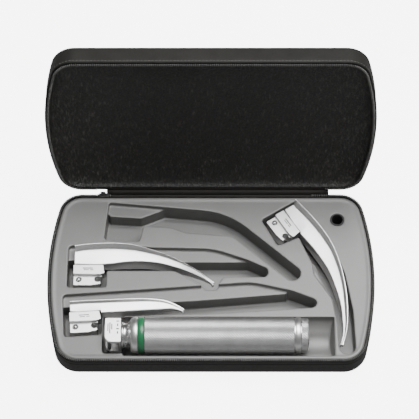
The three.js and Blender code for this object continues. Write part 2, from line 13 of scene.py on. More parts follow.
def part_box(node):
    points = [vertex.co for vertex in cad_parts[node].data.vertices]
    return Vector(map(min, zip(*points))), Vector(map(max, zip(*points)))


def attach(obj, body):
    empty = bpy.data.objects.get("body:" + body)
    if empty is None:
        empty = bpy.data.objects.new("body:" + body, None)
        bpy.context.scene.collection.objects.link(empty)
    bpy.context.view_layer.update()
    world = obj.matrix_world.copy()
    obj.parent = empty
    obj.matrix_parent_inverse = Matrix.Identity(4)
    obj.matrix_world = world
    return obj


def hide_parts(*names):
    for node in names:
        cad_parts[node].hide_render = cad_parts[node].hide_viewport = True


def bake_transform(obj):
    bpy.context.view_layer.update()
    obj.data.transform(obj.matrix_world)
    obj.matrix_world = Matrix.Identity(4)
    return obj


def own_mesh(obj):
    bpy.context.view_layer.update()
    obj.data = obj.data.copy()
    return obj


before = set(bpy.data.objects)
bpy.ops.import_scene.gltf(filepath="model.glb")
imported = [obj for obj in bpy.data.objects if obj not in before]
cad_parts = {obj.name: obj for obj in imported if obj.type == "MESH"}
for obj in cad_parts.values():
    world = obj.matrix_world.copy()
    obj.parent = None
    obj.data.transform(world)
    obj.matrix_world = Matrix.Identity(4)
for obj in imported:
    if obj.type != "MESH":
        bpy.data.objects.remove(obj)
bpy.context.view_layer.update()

MM = 0.001


def box_mm(node):
    """Lowest and highest corner of a CAD node, in millimetres."""
    low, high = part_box(node)
    return low / MM, high / MM


# ------------------------------------------------------------------ sizes

base_low, base_high = box_mm("case_base_shell")
CASE_W = base_high.x - base_low.x
CASE_L = base_high.y - base_low.y
BASE_H = base_high.z
SIDE_R = 248.0
CORNER_R = 19.0
BASE_ROUND = 7.0
WALL = 2.0
ZIP_BACK_X = 82.0               # the base's zip row ends here on the hinge side
LID_ZIP_BACK_X = 93.0           # the lid's row ends further out, clear of the slider when shut
TOOTH = (0.88, 2.3, 1.5)        # along the rim, across it and upwards
TOOTH_PITCH = 1.45
TOOTH_RISE = 1.2                # from the rim to the middle of a tooth
BASE_TEETH_INSET = 1.45
LID_TEETH_INSET = 2.3
STITCH = (1.9, 0.3, 0.42)
STITCH_PITCH = 2.75
STITCH_INSET = -0.06            # the thread stands this far out of the leather
STITCH_RISE = 1.7               # from the lid's rim to the row of stitches

LID_H = 18.0
LID_ROUND = 5.0
LINING = 1.2
FIT = 0.4
OPEN = math.radians(100.2)
HINGE = Vector((0, CASE_L / 2 + 1, BASE_H + 2))
LID_RIM_Z = 2 * HINGE.z - BASE_H
LID_TOP = LID_RIM_Z + LID_H

TRAY_INSET = WALL + 0.6
SHELF_DEPTH = 4.5
POCKET_DEPTH = 18.0

tube_low, tube_high = box_mm("handle_tube")
HANDLE_R = (tube_high.z - tube_low.z) / 2
HANDLE_Y = (tube_low.y + tube_high.y) / 2
HANDLE_Z = (tube_low.z + tube_high.z) / 2

WEB_TOP = box_mm("blade_2_block")[1].z
PLATE_T = 1.6
FLANGE_EDGE = 0.95
STEP_DROP = 3.3
BLOCK_W = 12.6


# ------------------------------------------------------------------ camera

FRAME_PX = 419
FOCAL_PX = 2366.7
ELEVATION = math.radians(62.5)
AZIMUTH = math.radians(0.545)
ROLL = math.radians(0.461)
DISTANCE = 1.9
AIM_HEIGHT = 0.002            # the camera's axis before tilting meets the case's axis here
TILT_UP = math.radians(1.925)
TURN_LEFT = math.radians(0.037)


def make_camera():
    back = Vector((math.sin(AZIMUTH) * math.cos(ELEVATION),
                   -math.cos(AZIMUTH) * math.cos(ELEVATION), math.sin(ELEVATION)))
    right = Vector((math.cos(AZIMUTH), math.sin(AZIMUTH), 0))
    up = back.cross(right)
    axes = Matrix((right, up, back)).transposed()
    turn = Matrix.Rotation(-ROLL, 3, "Z") @ Matrix.Rotation(TILT_UP, 3, "X")
    turn = turn @ Matrix.Rotation(TURN_LEFT, 3, "Y")
    data = bpy.data.cameras.new("camera")
    data.sensor_width = 36
    data.lens = FOCAL_PX * 36 / FRAME_PX
    data.clip_end = 20
    camera = bpy.data.objects.new("camera", data)
    place = Vector((0, 0, AIM_HEIGHT)) + back * DISTANCE
    camera.matrix_world = Matrix.Translation(place) @ (axes @ turn).to_4x4()
    bpy.context.scene.collection.objects.link(camera)
    bpy.context.scene.camera = camera


make_camera()


# ------------------------------------------------------------------ materials

class Shader:
    """A Principled material and the few nodes that vary it over the surface."""

    def __init__(self, name, color, roughness=0.5, metallic=0.0, **sockets):
        self.material = bpy.data.materials.new(name)
        self.material.use_nodes = True
        self.tree = self.material.node_tree
        self.principled = self.tree.nodes["Principled BSDF"]
        self.principled.inputs["Base Color"].default_value = (*color, 1)
        self.principled.inputs["Roughness"].default_value = roughness
        self.principled.inputs["Metallic"].default_value = metallic
        for socket, value in sockets.items():
            self.principled.inputs[socket.replace("_", " ")].default_value = value
        coordinates = self.tree.nodes.new("ShaderNodeTexCoord")
        self.coordinates = coordinates.outputs["Object"]
        self.normal = coordinates.outputs["Normal"]

    def stretched(self, scale):
        """Object coordinates stretched along X, Y and Z."""
        mapping = self.tree.nodes.new("ShaderNodeMapping")
        mapping.inputs["Scale"].default_value = scale
        self.tree.links.new(self.coordinates, mapping.inputs["Vector"])
        return mapping.outputs["Vector"]

    def noise(self, scale, detail=3.0, roughness=0.55, vector=None, distortion=0.0):
        node = self.tree.nodes.new("ShaderNodeTexNoise")
        node.inputs["Scale"].default_value = scale
        node.inputs["Detail"].default_value = detail
        node.inputs["Roughness"].default_value = roughness
        node.inputs["Distortion"].default_value = distortion
        self.tree.links.new(vector or self.coordinates, node.inputs["Vector"])
        return node.outputs["Fac"]

    def cells(self, scale, feature="F1", vector=None, smoothness=0.0):
        node = self.tree.nodes.new("ShaderNodeTexVoronoi")
        node.feature = feature
        node.inputs["Scale"].default_value = scale
        if feature == "SMOOTH_F1":
            node.inputs["Smoothness"].default_value = smoothness
        self.tree.links.new(vector or self.coordinates, node.inputs["Vector"])
        return node.outputs["Distance"]

    def wave(self, scale, direction, vector=None):
        node = self.tree.nodes.new("ShaderNodeTexWave")
        node.bands_direction = direction
        node.inputs["Scale"].default_value = scale
        self.tree.links.new(vector or self.coordinates, node.inputs["Vector"])
        return node.outputs["Fac"]

    def axis(self, name, vector=None):
        """One part of a vector, by default of the object coordinates in metres."""
        node = self.tree.nodes.new("ShaderNodeSeparateXYZ")
        self.tree.links.new(vector or self.coordinates, node.inputs["Vector"])
        return node.outputs[name]

    def ranged(self, value, low, high, from_low=0.0, from_high=1.0):
        node = self.tree.nodes.new("ShaderNodeMapRange")
        node.inputs["From Min"].default_value = from_low
        node.inputs["From Max"].default_value = from_high
        node.inputs["To Min"].default_value = low
        node.inputs["To Max"].default_value = high
        self.tree.links.new(value, node.inputs["Value"])
        return node.outputs["Result"]

    def combined(self, a, b, operation="ADD"):
        node = self.tree.nodes.new("ShaderNodeMath")
        node.operation = operation
        self.tree.links.new(a, node.inputs[0])
        self.tree.links.new(b, node.inputs[1])
        return node.outputs[0]

    def colours(self, value, stops):
        """Colour ramp over value; stops are (position, colour)."""
        node = self.tree.nodes.new("ShaderNodeValToRGB")
        ramp = node.color_ramp
        while len(ramp.elements) < len(stops):
            ramp.elements.new(0.5)
        for element, (position, color) in zip(ramp.elements, stops):
            element.position = position
            element.color = (*color, 1)
        self.tree.links.new(value, node.inputs["Fac"])
        self.tree.links.new(node.outputs["Color"], self.principled.inputs["Base Color"])

    def rough(self, value):
        self.tree.links.new(value, self.principled.inputs["Roughness"])

    def mottle(self, color, scale, dark, light, detail=3):
        """Two tones of a colour in soft patches."""
        self.colours(self.noise(scale, detail), [(0.3, tint(color, dark)), (0.7, tint(color, light))])

    def uneven(self, scale, low, high, detail=2):
        """Roughness that wanders between two values."""
        self.rough(self.ranged(self.noise(scale, detail), low, high, 0.3, 0.7))

    def bump(self, height, strength, distance_mm):
        node = self.tree.nodes.new("ShaderNodeBump")
        node.inputs["Strength"].default_value = strength
        node.inputs["Distance"].default_value = distance_mm * MM
        self.tree.links.new(height, node.inputs["Height"])
        old = self.principled.inputs["Normal"].links
        if old:
            self.tree.links.new(old[0].from_socket, node.inputs["Normal"])
        self.tree.links.new(node.outputs["Normal"], self.principled.inputs["Normal"])


def tint(color, factor):
    return tuple(c * factor for c in color)


def make_leatherette():
    color = (0.0175, 0.0168, 0.0150)
    s = Shader("leatherette", color, 0.5, Specular_IOR_Level=0.25)
    grain = s.cells(900, "SMOOTH_F1", smoothness=0.6)
    fine = s.noise(2600, 2)
    s.mottle(color, 45, 0.8, 1.25)
    s.rough(s.ranged(grain, 0.42, 0.62, 0.0, 0.8))
    s.bump(fine, 0.25, 0.05)
    s.bump(grain, 0.5, 0.12)
    return s.material


def make_lining():
    color = (0.0180, 0.0176, 0.0160)
    s = Shader("lining_leather", color, 0.4, Specular_IOR_Level=0.6)
    wrinkles = s.noise(430, 4, 0.62, s.stretched((1.7, 1.0, 0.5)), 0.6)
    grain = s.cells(820, "SMOOTH_F1", s.stretched((1.2, 1.0, 0.75)), 0.4)
    # Painted light: x squared lifts the lining's colour towards the lid's left and right sides, where
    # the dished lining catches more light; the wrinkles added to it are the leather's own grain.
    across = s.combined(s.axis("X"), s.axis("X"), "MULTIPLY")
    wrinkles_and_painted_side_light = s.combined(wrinkles, s.ranged(across, -0.015, 0.055, 0.003, 0.013))
    # Painted highlight: the ramp's upper stops make the wrinkle peaks up to five times lighter, as
    # glints on the grain.
    s.colours(wrinkles_and_painted_side_light, [(0.38, tint(color, 0.45)), (0.52, tint(color, 0.9)), (0.60, tint(color, 1.7)),
                     (0.70, tint(color, 5.0))])
    s.rough(s.ranged(wrinkles, 0.36, 0.5, 0.3, 0.7))
    s.bump(wrinkles, 1.0, 1.2)
    s.bump(grain, 0.7, 0.3)
    return s.material


def make_zip_tape():
    color = (0.0050, 0.0050, 0.0048)
    s = Shader("zip_tape", color, 0.75, Specular_IOR_Level=0.2)
    weave = s.combined(s.wave(950, "DIAGONAL"), s.wave(950, "Z"), "MULTIPLY")
    s.colours(weave, [(0.1, tint(color, 0.6)), (0.9, tint(color, 1.5))])
    s.bump(weave, 0.5, 0.12)
    return s.material


def make_zip_nylon():
    color = (0.10, 0.099, 0.094)
    s = Shader("zip_nylon", color, 0.34, Specular_IOR_Level=0.8)
    s.mottle(color, 300, 0.7, 1.4, 2)
    s.uneven(900, 0.26, 0.42)
    s.bump(s.noise(1800, 2), 0.15, 0.03)
    return s.material


def make_thread():
    color = (0.11, 0.108, 0.10)
    s = Shader("sewing_thread", color, 0.55, Sheen_Weight=0.2)
    twist = s.wave(1500, "DIAGONAL")
    s.colours(twist, [(0.2, tint(color, 0.55)), (0.8, tint(color, 1.4))])
    s.bump(twist, 0.6, 0.08)
    return s.material


def make_flock():
    color = (0.158, 0.157, 0.153)
    s = Shader("flock", color, 0.43, Specular_IOR_Level=1.0)
    cloud = s.noise(28, 4, 0.6)
    fibre = s.noise(2400, 2, 0.7)
    speck = s.combined(s.ranged(cloud, 0.0, 0.6), s.ranged(fibre, 0.0, 0.4))
    # Painted highlight: the flock's colour is made lighter on the tilted faces of rounded edges, where
    # the overhead light's highlight falls, and left plain on flat tops and upright walls.
    upright = s.axis("Z", s.normal)
    painted_edge_highlight = s.combined(s.ranged(upright, 0, 1, 0.2, 0.45), s.ranged(upright, 0.5, 0, 0.74, 0.92),
                       "MULTIPLY")
    s.colours(s.combined(speck, painted_edge_highlight), [(0.36, tint(color, 0.9)), (0.64, tint(color, 1.08)),
                                         (1.0, tint(color, 1.9))])
    s.bump(fibre, 0.35, 0.08)
    s.bump(s.noise(700, 3), 0.12, 0.1)
    return s.material


def make_chrome(name="chrome", color=(0.86, 0.865, 0.87), low=0.07, high=0.15):
    s = Shader(name, color, low, 1.0)
    smear = s.noise(60, 4, 0.6)
    s.colours(smear, [(0.3, tint(color, 0.94)), (0.7, color)])
    s.rough(s.ranged(smear, low, high, 0.3, 0.7))
    s.bump(s.noise(2200, 2, 0.6, s.stretched((0.15, 1, 1))), 0.06, 0.02)
    return s.material


def make_satin():
    color = (0.90, 0.90, 0.895)
    s = Shader("satin_steel", color, 0.36, 1.0)
    blast = s.noise(1900, 3, 0.7)
    smear = s.noise(40, 4, 0.6)
    s.colours(smear, [(0.3, tint(color, 0.95)), (0.7, color)])
    s.rough(s.ranged(smear, 0.34, 0.40, 0.3, 0.7))
    s.bump(blast, 0.12, 0.03)
    return s.material


def make_knurled():
    color = (0.82, 0.822, 0.825)
    s = Shader("knurled_steel", color, 0.34, 1.0)
    smear = s.noise(90, 4, 0.6)
    s.colours(smear, [(0.3, tint(color, 0.9)), (0.7, tint(color, 1.06))])
    s.uneven(700, 0.28, 0.42, 3)
    s.bump(s.noise(2600, 2), 0.1, 0.02)
    return s.material


def make_etch():
    color = (0.04, 0.04, 0.04)
    s = Shader("etched_mark", color, 0.6)
    s.mottle(color, 1500, 0.75, 1.2, 2)
    return s.material


def make_plain(name, color, roughness, metallic=0.0, mottle=None, uneven=None, bump=(2000, 2, 0.1, 0.02),
               **sockets):
    """Finish with patches of tone, wandering roughness and a fine bump."""
    s = Shader(name, color, roughness, metallic, **sockets)
    if mottle:
        s.mottle(color, *mottle)
    if uneven:
        s.uneven(*uneven)
    scale, detail, strength, depth = bump
    s.bump(s.noise(scale, detail), strength, depth)
    return s.material


LEATHERETTE = make_leatherette()
LINING_LEATHER = make_lining()
ZIP_TAPE = make_zip_tape()
ZIP_NYLON = make_zip_nylon()
THREAD = make_thread()
FLOCK = make_flock()
CHROME = make_chrome()
SOFT_CHROME = make_chrome("soft_chrome", low=0.24, high=0.32)
SATIN = make_satin()
KNURLED = make_knurled()
SPRING_STEEL = make_plain("spring_steel", (0.46, 0.46, 0.47), 0.3, 1.0, uneven=(1500, 0.22, 0.4),
                          bump=(2500, 2, 0.1, 0.02))
BLACK_ENAMEL = make_plain("black_enamel", (0.02, 0.02, 0.019), 0.3, mottle=(500, 0.7, 1.6),
                          uneven=(400, 0.25, 0.45, 3), bump=(900, 2, 0.1, 0.04),
                          Coat_Weight=0.4, Coat_Roughness=0.2)
BLACK_PLASTIC = make_plain("black_plastic", (0.022, 0.022, 0.023), 0.45, mottle=(200, 0.8, 1.25),
                           uneven=(1200, 0.38, 0.55), bump=(2000, 2, 0.15, 0.03))
RUBBER = make_plain("rubber", (0.028, 0.028, 0.029), 0.7, mottle=(150, 0.8, 1.3),
                    bump=(1500, 3, 0.25, 0.05))
GREEN = make_plain("green_plastic", (0.024, 0.185, 0.078), 0.32, mottle=(120, 0.88, 1.1),
                   uneven=(600, 0.28, 0.4), bump=(1600, 2, 0.08, 0.03), Coat_Weight=0.25,
                   Coat_Roughness=0.15)
ETCH = make_etch()
CELL_WRAP = make_plain("cell_wrap", (0.60, 0.46, 0.20), 0.32, 0.7, mottle=(80, 0.9, 1.08),
                       bump=(500, 2, 0.06, 0.05))
GLASS = make_plain("lamp_glass", (0.92, 0.95, 0.96), 0.05, bump=(400, 2, 0.05, 0.03),
                   Transmission_Weight=0.85, IOR=1.5)
GUIDE_SLEEVE = make_plain("light_guide_sleeve", (0.78, 0.80, 0.82), 0.25, 1.0,
                          uneven=(800, 0.2, 0.34), bump=(1800, 2, 0.08, 0.02))


# ------------------------------------------------------------------ mesh tools

def unit(vector):
    vector = np.asarray(vector, float)
    return vector / np.linalg.norm(vector)


def rounded(corners, steps=6):
    """Outline through corners (x, y, radius), each rounded with an arc of that many steps."""
    outline = []
    for i, (x, y, radius) in enumerate(corners):
        here = np.array((x, y), float)
        if radius == 0:
            outline.append(here)
            continue
        back = unit(np.array(corners[i - 1][:2]) - here)
        ahead = unit(np.array(corners[(i + 1) % len(corners)][:2]) - here)
        half = math.acos(np.clip(back @ ahead, -1, 1)) / 2
        centre = here + unit(back + ahead) * radius / math.sin(half)
        start = here + back * radius / math.tan(half) - centre
        end = here + ahead * radius / math.tan(half) - centre
        sweep = math.atan2(start[0] * end[1] - start[1] * end[0], start @ end)
        for k in range(steps + 1):
            a = sweep * k / steps
            turned = (start[0] * math.cos(a) - start[1] * math.sin(a),
                      start[0] * math.sin(a) + start[1] * math.cos(a))
            outline.append(centre + turned)
    return np.array(outline)


def smooth_curve(points, count):
    """Points evenly numbered along a Catmull-Rom curve through the given ones."""
    points = np.array(points, float)
    ends = np.vstack((2 * points[0] - points[1], points, 2 * points[-1] - points[-2]))
    made = []
    for t in np.linspace(0, len(points) - 1, count):
        i = min(int(t), len(points) - 2)
        f = t - i
        a, b, c, d = ends[i:i + 4]
        made.append(0.5 * (2 * b + (c - a) * f + (2 * a - 5 * b + 4 * c - d) * f ** 2
                           + (3 * b - a - 3 * c + d) * f ** 3))
    return np.array(made)


def smoothstep(t):
    """Eases from 0 to 1 as t goes from 0 to 1, and stays there outside."""
    t = min(max(t, 0), 1)
    return t * t * (3 - 2 * t)


def lengths_along(points):
    steps = np.linalg.norm(np.diff(points, axis=0), axis=1)
    return np.concatenate(([0], np.cumsum(steps)))


def spaced(points, pitch):
    """Points about pitch apart along a polyline, with the unit direction at each."""
    run = lengths_along(points)
    count = max(int(run[-1] / pitch), 1)
    at = (np.arange(count) + 0.5) * run[-1] / count
    where = np.stack([np.interp(at, run, points[:, k]) for k in range(points.shape[1])], 1)
    index = np.clip(np.searchsorted(run, at) - 1, 0, len(points) - 2)
    along = points[index + 1] - points[index]
    return where, along / np.linalg.norm(along, axis=1)[:, None]


def loft(rings, wrap=True, caps=True, loop=False):
    """Quads between rings of equal count. loop also joins the last ring to the first."""
    count = len(rings[0])
    verts = [tuple(p) for ring in rings for p in ring]
    faces = []
    rows = len(rings)
    for r in range(rows if loop else rows - 1):
        a, b = r * count, ((r + 1) % rows) * count
        for i in range(count if wrap else count - 1):
            j = (i + 1) % count
            faces.append((a + i, a + j, b + j, b + i))
    if caps and not loop:
        faces.append(tuple(range(count))[::-1])
        faces.append(tuple(range((rows - 1) * count, rows * count)))
    return verts, faces


def prism(outline, z0, z1):
    rings = [[(x, y, z) for x, y in outline] for z in (z0, z1)]
    return loft(rings)


def full_turn(count):
    """Angles evenly spread round a circle."""
    return [2 * math.pi * k / count for k in range(count)]


def lathe(profile, segments=96, loop=False):
    """Solid of revolution about the handle's axis from (x, radius) points."""
    rings = []
    for x, r in profile:
        rings.append([(x, HANDLE_Y + r * math.cos(a), HANDLE_Z + r * math.sin(a))
                      for a in full_turn(segments)])
    return loft(rings, caps=False, loop=loop)


def post(x, y, profile, segments=48, loop=False):
    """Solid of revolution about an upright axis from (radius, z) points."""
    rings = []
    for r, z in profile:
        rings.append([(x + r * math.cos(a), y + r * math.sin(a), z) for a in full_turn(segments)])
    return loft(rings, caps=False, loop=loop)


def sweep(path, radius, sides=10):
    """Round rod along a path, capped flat at both ends."""
    path = [Vector(p) for p in path]
    rings = []
    side = None
    for i, point in enumerate(path):
        ahead = (path[min(i + 1, len(path) - 1)] - path[max(i - 1, 0)]).normalized()
        if side is None:
            side = ahead.orthogonal().normalized()
        side = (side - ahead * side.dot(ahead)).normalized()
        other = ahead.cross(side)
        rings.append([point + (side * math.cos(a) + other * math.sin(a)) * radius
                      for a in full_turn(sides)])
    return loft(rings)


def helix(start, axis, length, radius, turns, per_turn=16, end_radius=None):
    """Points of a coil from start along a unit axis; it may widen to end_radius."""
    axis = Vector(axis)
    side = axis.orthogonal().normalized()
    other = axis.cross(side)
    end_radius = radius if end_radius is None else end_radius
    path = []
    total = int(turns * per_turn)
    for k in range(total + 1):
        f = k / total
        a = 2 * math.pi * turns * f
        r = radius + (end_radius - radius) * f
        path.append(Vector(start) + axis * (length * f)
                    + side * (r * math.cos(a)) + other * (r * math.sin(a)))
    return path


def joined(parts):
    verts, faces = [], []
    for part_verts, part_faces in parts:
        base = len(verts)
        verts.extend(part_verts)
        faces.extend(tuple(base + i for i in face) for face in part_faces)
    return verts, faces


def build(name, shape, material, smooth=35, matrix=None):
    """Blender object from (verts, faces) in millimetres, with its faces turned out."""
    verts, faces = shape
    mesh = bpy.data.meshes.new(name)
    mesh.from_pydata([tuple(v) for v in verts], [], faces)
    bm = bmesh.new()
    bm.from_mesh(mesh)
    bmesh.ops.remove_doubles(bm, verts=bm.verts, dist=1e-5)
    bmesh.ops.dissolve_degenerate(bm, edges=bm.edges, dist=1e-6)
    bmesh.ops.recalc_face_normals(bm, faces=bm.faces)
    bm.to_mesh(mesh)
    bm.free()
    mesh.transform(Matrix.Scale(MM, 4))
    if matrix is not None:
        mesh.transform(matrix)
    shade(mesh, smooth)
    mesh.materials.append(material)
    obj = bpy.data.objects.new(name, mesh)
    bpy.context.scene.collection.objects.link(obj)
    return obj


def shade(mesh, smooth):
    """Smooth shading, broken at edges sharper than that many degrees. 0 leaves it flat."""
    mesh.polygons.foreach_set("use_smooth", [smooth > 0] * len(mesh.polygons))
    if smooth:
        mesh.set_sharp_from_angle(angle=math.radians(smooth))


def settle(obj):
    """Puts the result of an object's modifiers into its mesh."""
    graph = bpy.context.evaluated_depsgraph_get()
    result = bpy.data.meshes.new_from_object(obj.evaluated_get(graph))
    obj.modifiers.clear()
    obj.data = result
    return obj


def carve(obj, cutters, operation="DIFFERENCE"):
    """Cuts obj by each (verts, faces) cutter in turn, all in the same millimetre frame."""
    for cutter in cutters:
        tool = build("cutter", cutter, obj.data.materials[0])
        modifier = obj.modifiers.new("cut", "BOOLEAN")
        modifier.operation = operation
        modifier.solver = "EXACT"
        modifier.object = tool
        settle(obj)
        bpy.data.objects.remove(tool)
    return obj


def soften(obj, width_mm, segments=2, angle=32, smooth=40):
    """Small rounded edges all over, with flat faces kept flat."""
    modifier = obj.modifiers.new("edges", "BEVEL")
    modifier.width = width_mm * MM
    modifier.segments = segments
    modifier.limit_method = "ANGLE"
    modifier.angle_limit = math.radians(angle)
    modifier.harden_normals = False
    settle(obj)
    shade(obj.data, smooth)
    normals = obj.modifiers.new("normals", "WEIGHTED_NORMAL")
    normals.keep_sharp = True
    settle(obj)
    return obj


def belongs(obj, body, slot, *nodes):
    """The piece rides on a body and stands for the named CAD nodes. slot is not used."""
    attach(obj, body)
    if nodes:
        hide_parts(*nodes)
    return obj


# ------------------------------------------------------------------ case outline

def quarter_outline(inset, side_steps=16, corner_steps=12):
    """The bowed short side's half, then the corner arc, as in the CAD model."""
    side = SIDE_R - inset
    corner = max(CORNER_R - inset, 2)
    side_centre = CASE_W / 2 - SIDE_R
    corner_y = CASE_L / 2 - inset - corner
    corner_x = side_centre + math.sqrt((side - corner) ** 2 - corner_y ** 2)
    turn = math.atan2(corner_y, corner_x - side_centre)
    points = []
    for a in np.linspace(0, turn, side_steps, endpoint=False):
        points.append((side_centre + side * math.cos(a), side * math.sin(a)))
    for a in np.linspace(turn, math.pi / 2, corner_steps + 1):
        points.append((corner_x + corner * math.cos(a), corner_y + corner * math.sin(a)))
    return np.array(points)


def case_outline(inset):
    """Whole outline, anticlockwise from the middle of the right side."""
    quarter = quarter_outline(inset)
    front = quarter[::-1]
    parts = [quarter, front[:-1] * (-1, 1), quarter * (-1, -1), front[:-1] * (1, -1)]
    return np.vstack(parts)


def ring_at(inset, z):
    return [(x, y, z) for x, y in case_outline(inset)]


def shell(profile):
    """Closed skin round the case from (inset, z) points, capped at both ends."""
    return loft([ring_at(inset, z) for inset, z in profile])


def arc(centre, radius, start, end, steps=8):
    """(inset, z) points on an arc; angles in degrees from the inset direction."""
    angles = np.radians(np.linspace(start, end, steps + 1))
    return [(centre[0] + radius * math.cos(a), centre[1] + radius * math.sin(a))
            for a in angles]


def rim_path(inset, back_x):
    """Open path round the rim, from the hinge side's left end round the front to its right."""
    loop = case_outline(inset)
    start = len(quarter_outline(inset))
    path = np.vstack((loop[start:], loop[:start]))
    edge = CASE_L / 2 - inset
    left, right = [(-back_x, edge)], [(back_x, edge)]
    return np.vstack((left, path, right))


def band(section, back_x):
    """Sweeps an (inset, z) section round the rim."""
    paths = [rim_path(inset, back_x) for inset, _ in section]
    rings = []
    for i in range(len(paths[0])):
        rings.append([(*paths[k][i], section[k][1]) for k in range(len(section))])
    return loft(rings)


def along_rim(template, pitch, inset, z, back_x):
    """Copies a small shape along the rim. Its axes are along the rim, inwards and up."""
    verts, faces = template
    verts = np.array(verts)
    where, along = spaced(rim_path(inset, back_x), pitch)
    parts = []
    for (x, y), (ax, ay) in zip(where, along):
        inwards = np.array((-ay, ax))
        flat = verts[:, :1] * (ax, ay) + verts[:, 1:2] * inwards + (x, y)
        parts.append((np.column_stack((flat, verts[:, 2] + z)).tolist(), faces))
    return joined(parts)


def lobe(length, across, height, sides=8, rows=5, squareness=0.6):
    """Rounded block centred on the origin."""
    rings = []
    for lat in np.linspace(-math.pi / 2 + 0.25, math.pi / 2 - 0.25, rows):
        shrink = math.cos(lat) ** squareness
        ring = []
        for k in range(sides):
            a = 2 * math.pi * (k + 0.5) / sides
            cx = math.copysign(abs(math.cos(a)) ** squareness, math.cos(a))
            cz = math.copysign(abs(math.sin(a)) ** squareness, math.sin(a))
            ring.append((length / 2 * cx * shrink, across / 2 * math.sin(lat),
                         height / 2 * cz * shrink))
        rings.append(ring)
    return loft(rings)


# ------------------------------------------------------------------ case base

def lid_open():
    """Turns lid pieces from their closed place to the open one, in metres."""
    hinge = Matrix.Translation(HINGE * MM)
    return hinge @ Matrix.Rotation(-OPEN, 4, "X") @ hinge.inverted()


def make_base():
    r = BASE_ROUND
    outer = [(WALL, BASE_H - 0.3), (WALL - 0.3, BASE_H), (0.4, BASE_H), (0.1, BASE_H - 0.1),
             (0, BASE_H - 0.5), (0, 19.9), (0.25, 19.7), (0.25, 19.3), (0, 19.1), (0, 13)]
    outer += arc((r, r), r, 180, 270, 14)
    groove = [(26, 0), (26.4, 0.12), (27, 0.5), (28, 0.5), (28.6, 0.12), (29, 0), (50, 0)]
    inner_r = r - WALL
    inner = [(50, WALL)] + arc((r, r), inner_r, 270, 180, 10)
    skin = shell(inner + outer + groove)
    return belongs(build("base_shell", skin, LEATHERETTE, 50), "case", "leatherette",
                   "case_base_shell")


def zip_row(prefix, body, rim_z, up, back_x, node, matrix=None):
    """Tape and teeth of one rim, and the lid's stitches. up is 1 on the base, -1 on the lid."""
    def at(inset, rise):
        return inset, rim_z + up * rise
    tape = [at(*point) for point in ((0.5, 0.02), (0.45, 0.35), (0.6, 0.6), (1.9, 0.75),
                                     (2.5, 0.5), (2.5, 0.02))]
    tape_piece = build(prefix + "_zip_tape", band(tape, back_x), ZIP_TAPE, 50, matrix)
    belongs(tape_piece, body, "zip_nylon")
    inset = BASE_TEETH_INSET if up > 0 else LID_TEETH_INSET
    teeth = along_rim(lobe(*TOOTH), TOOTH_PITCH, inset, rim_z + up * TOOTH_RISE, back_x - 1)
    belongs(build(prefix + "_zip_teeth", teeth, ZIP_NYLON, 60, matrix), body, "zip_nylon", node)
    if up < 0:
        stitch = lobe(*STITCH, 8, 5, 0.8)
        row = along_rim(stitch, STITCH_PITCH, STITCH_INSET, rim_z + STITCH_RISE, back_x - 2)
        belongs(build(prefix + "_stitches", row, THREAD, 60, matrix), body, "zip_nylon")


def make_hinge():
    """One leatherette strip from the base's back wall, round the hinge, to the lid's."""
    x0, x1 = box_mm("hinge_strip")[0].x, box_mm("hinge_strip")[1].x
    y = CASE_L / 2
    route = [(y + 0.5, 11.0), (y + 0.5, 15.0), (y + 0.55, 19.0), (y + 0.7, 22.0)]
    bend_centre, bend_r = (HINGE.y + 2.2, HINGE.z - 2.8), 2.5
    for a in np.radians(np.linspace(172, 100, 9)):
        route.append((bend_centre[0] + bend_r * math.cos(a),
                      bend_centre[1] + bend_r * math.sin(a)))
    for rise in (6.0, 9.0, 12.0, 15.0):
        rel = Vector((y + 0.5 - HINGE.y, rise))
        turned = Vector((rel.x * math.cos(-OPEN) - rel.y * math.sin(-OPEN),
                         rel.x * math.sin(-OPEN) + rel.y * math.cos(-OPEN)))
        route.append((HINGE.y + turned.x, HINGE.z + turned.y))
    centre = smooth_curve(route, 60)
    step = np.gradient(centre, axis=0)
    normal = np.column_stack((-step[:, 1], step[:, 0]))
    normal /= np.linalg.norm(normal, axis=1)[:, None]
    half = 0.42
    rings = []
    for x, squeeze in ((x0, 0.4), (x0 + 0.4, 1), *[(v, 1) for v in np.linspace(x0 + 6, x1 - 6, 24)],
                       (x1 - 0.4, 1), (x1, 0.4)):
        loop = [centre + normal * half * squeeze, (centre - normal * half * squeeze)[::-1]]
        rings.append([(x, py, pz) for py, pz in np.vstack(loop)])
    strip = build("hinge_strip_leather", loft(rings), LEATHERETTE, 60)
    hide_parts("hinge_strip")
    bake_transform(strip)
    return strip


# ------------------------------------------------------------------ insert

LARGE_PLACE = [
    (-82.5, 68, 2), (-86, 34, 2.5), (-57.5, 32.3, 2.5), (-54.5, 46.5, 1), (-32, 45, 8),
    (-20, 40.3, 6), (17, 37.3, 4), (65.3, -5.6, 6.3), (74, 4.1, 6.3), (13.3, 58.8, 60),
]
LARGE_SHELF = [(-92, 76), (-81.5, 57.3), (-56.5, 55.6), (-38, 63.5), (-38, 76)]
MEDIUM_PLACE = [
    (-114, 28, 3), (-114.5, -9.5, 2.5), (-83, -9.5, 2.5), (-83, 5.8, 1), (-29, 5.8, 14),
    (-4, -9.4, 1.2), (4, -9.4, 1.2), (9.5, 0, 3), (45.5, 0, 4.5), (45.5, 7.5, 4), (29, 15.6, 40),
    (2, 25.5, 60), (-45, 26.5, 40), (-90, 30, 40),
]
MEDIUM_SHELF = [(-120, 35), (-120, 17), (-40, 17), (-20, 15.3), (29, 15.3), (29, 35)]
SMALL_PLACE = [
    (-117.5, -16, 3), (-115.3, -53.2, 2.5), (-85.5, -50.8, 2.5), (-85.5, -35.5, 1),
    (5, -32.2, 8), (81, -27, 5), (87, -21.5, 4), (64, -12, 20), (32, -4.6, 40), (-50, -11, 20),
]
SMALL_SHELF = [(-122, -6), (-122, -25.5), (-12, -19.3), (60, -13), (60, 0)]
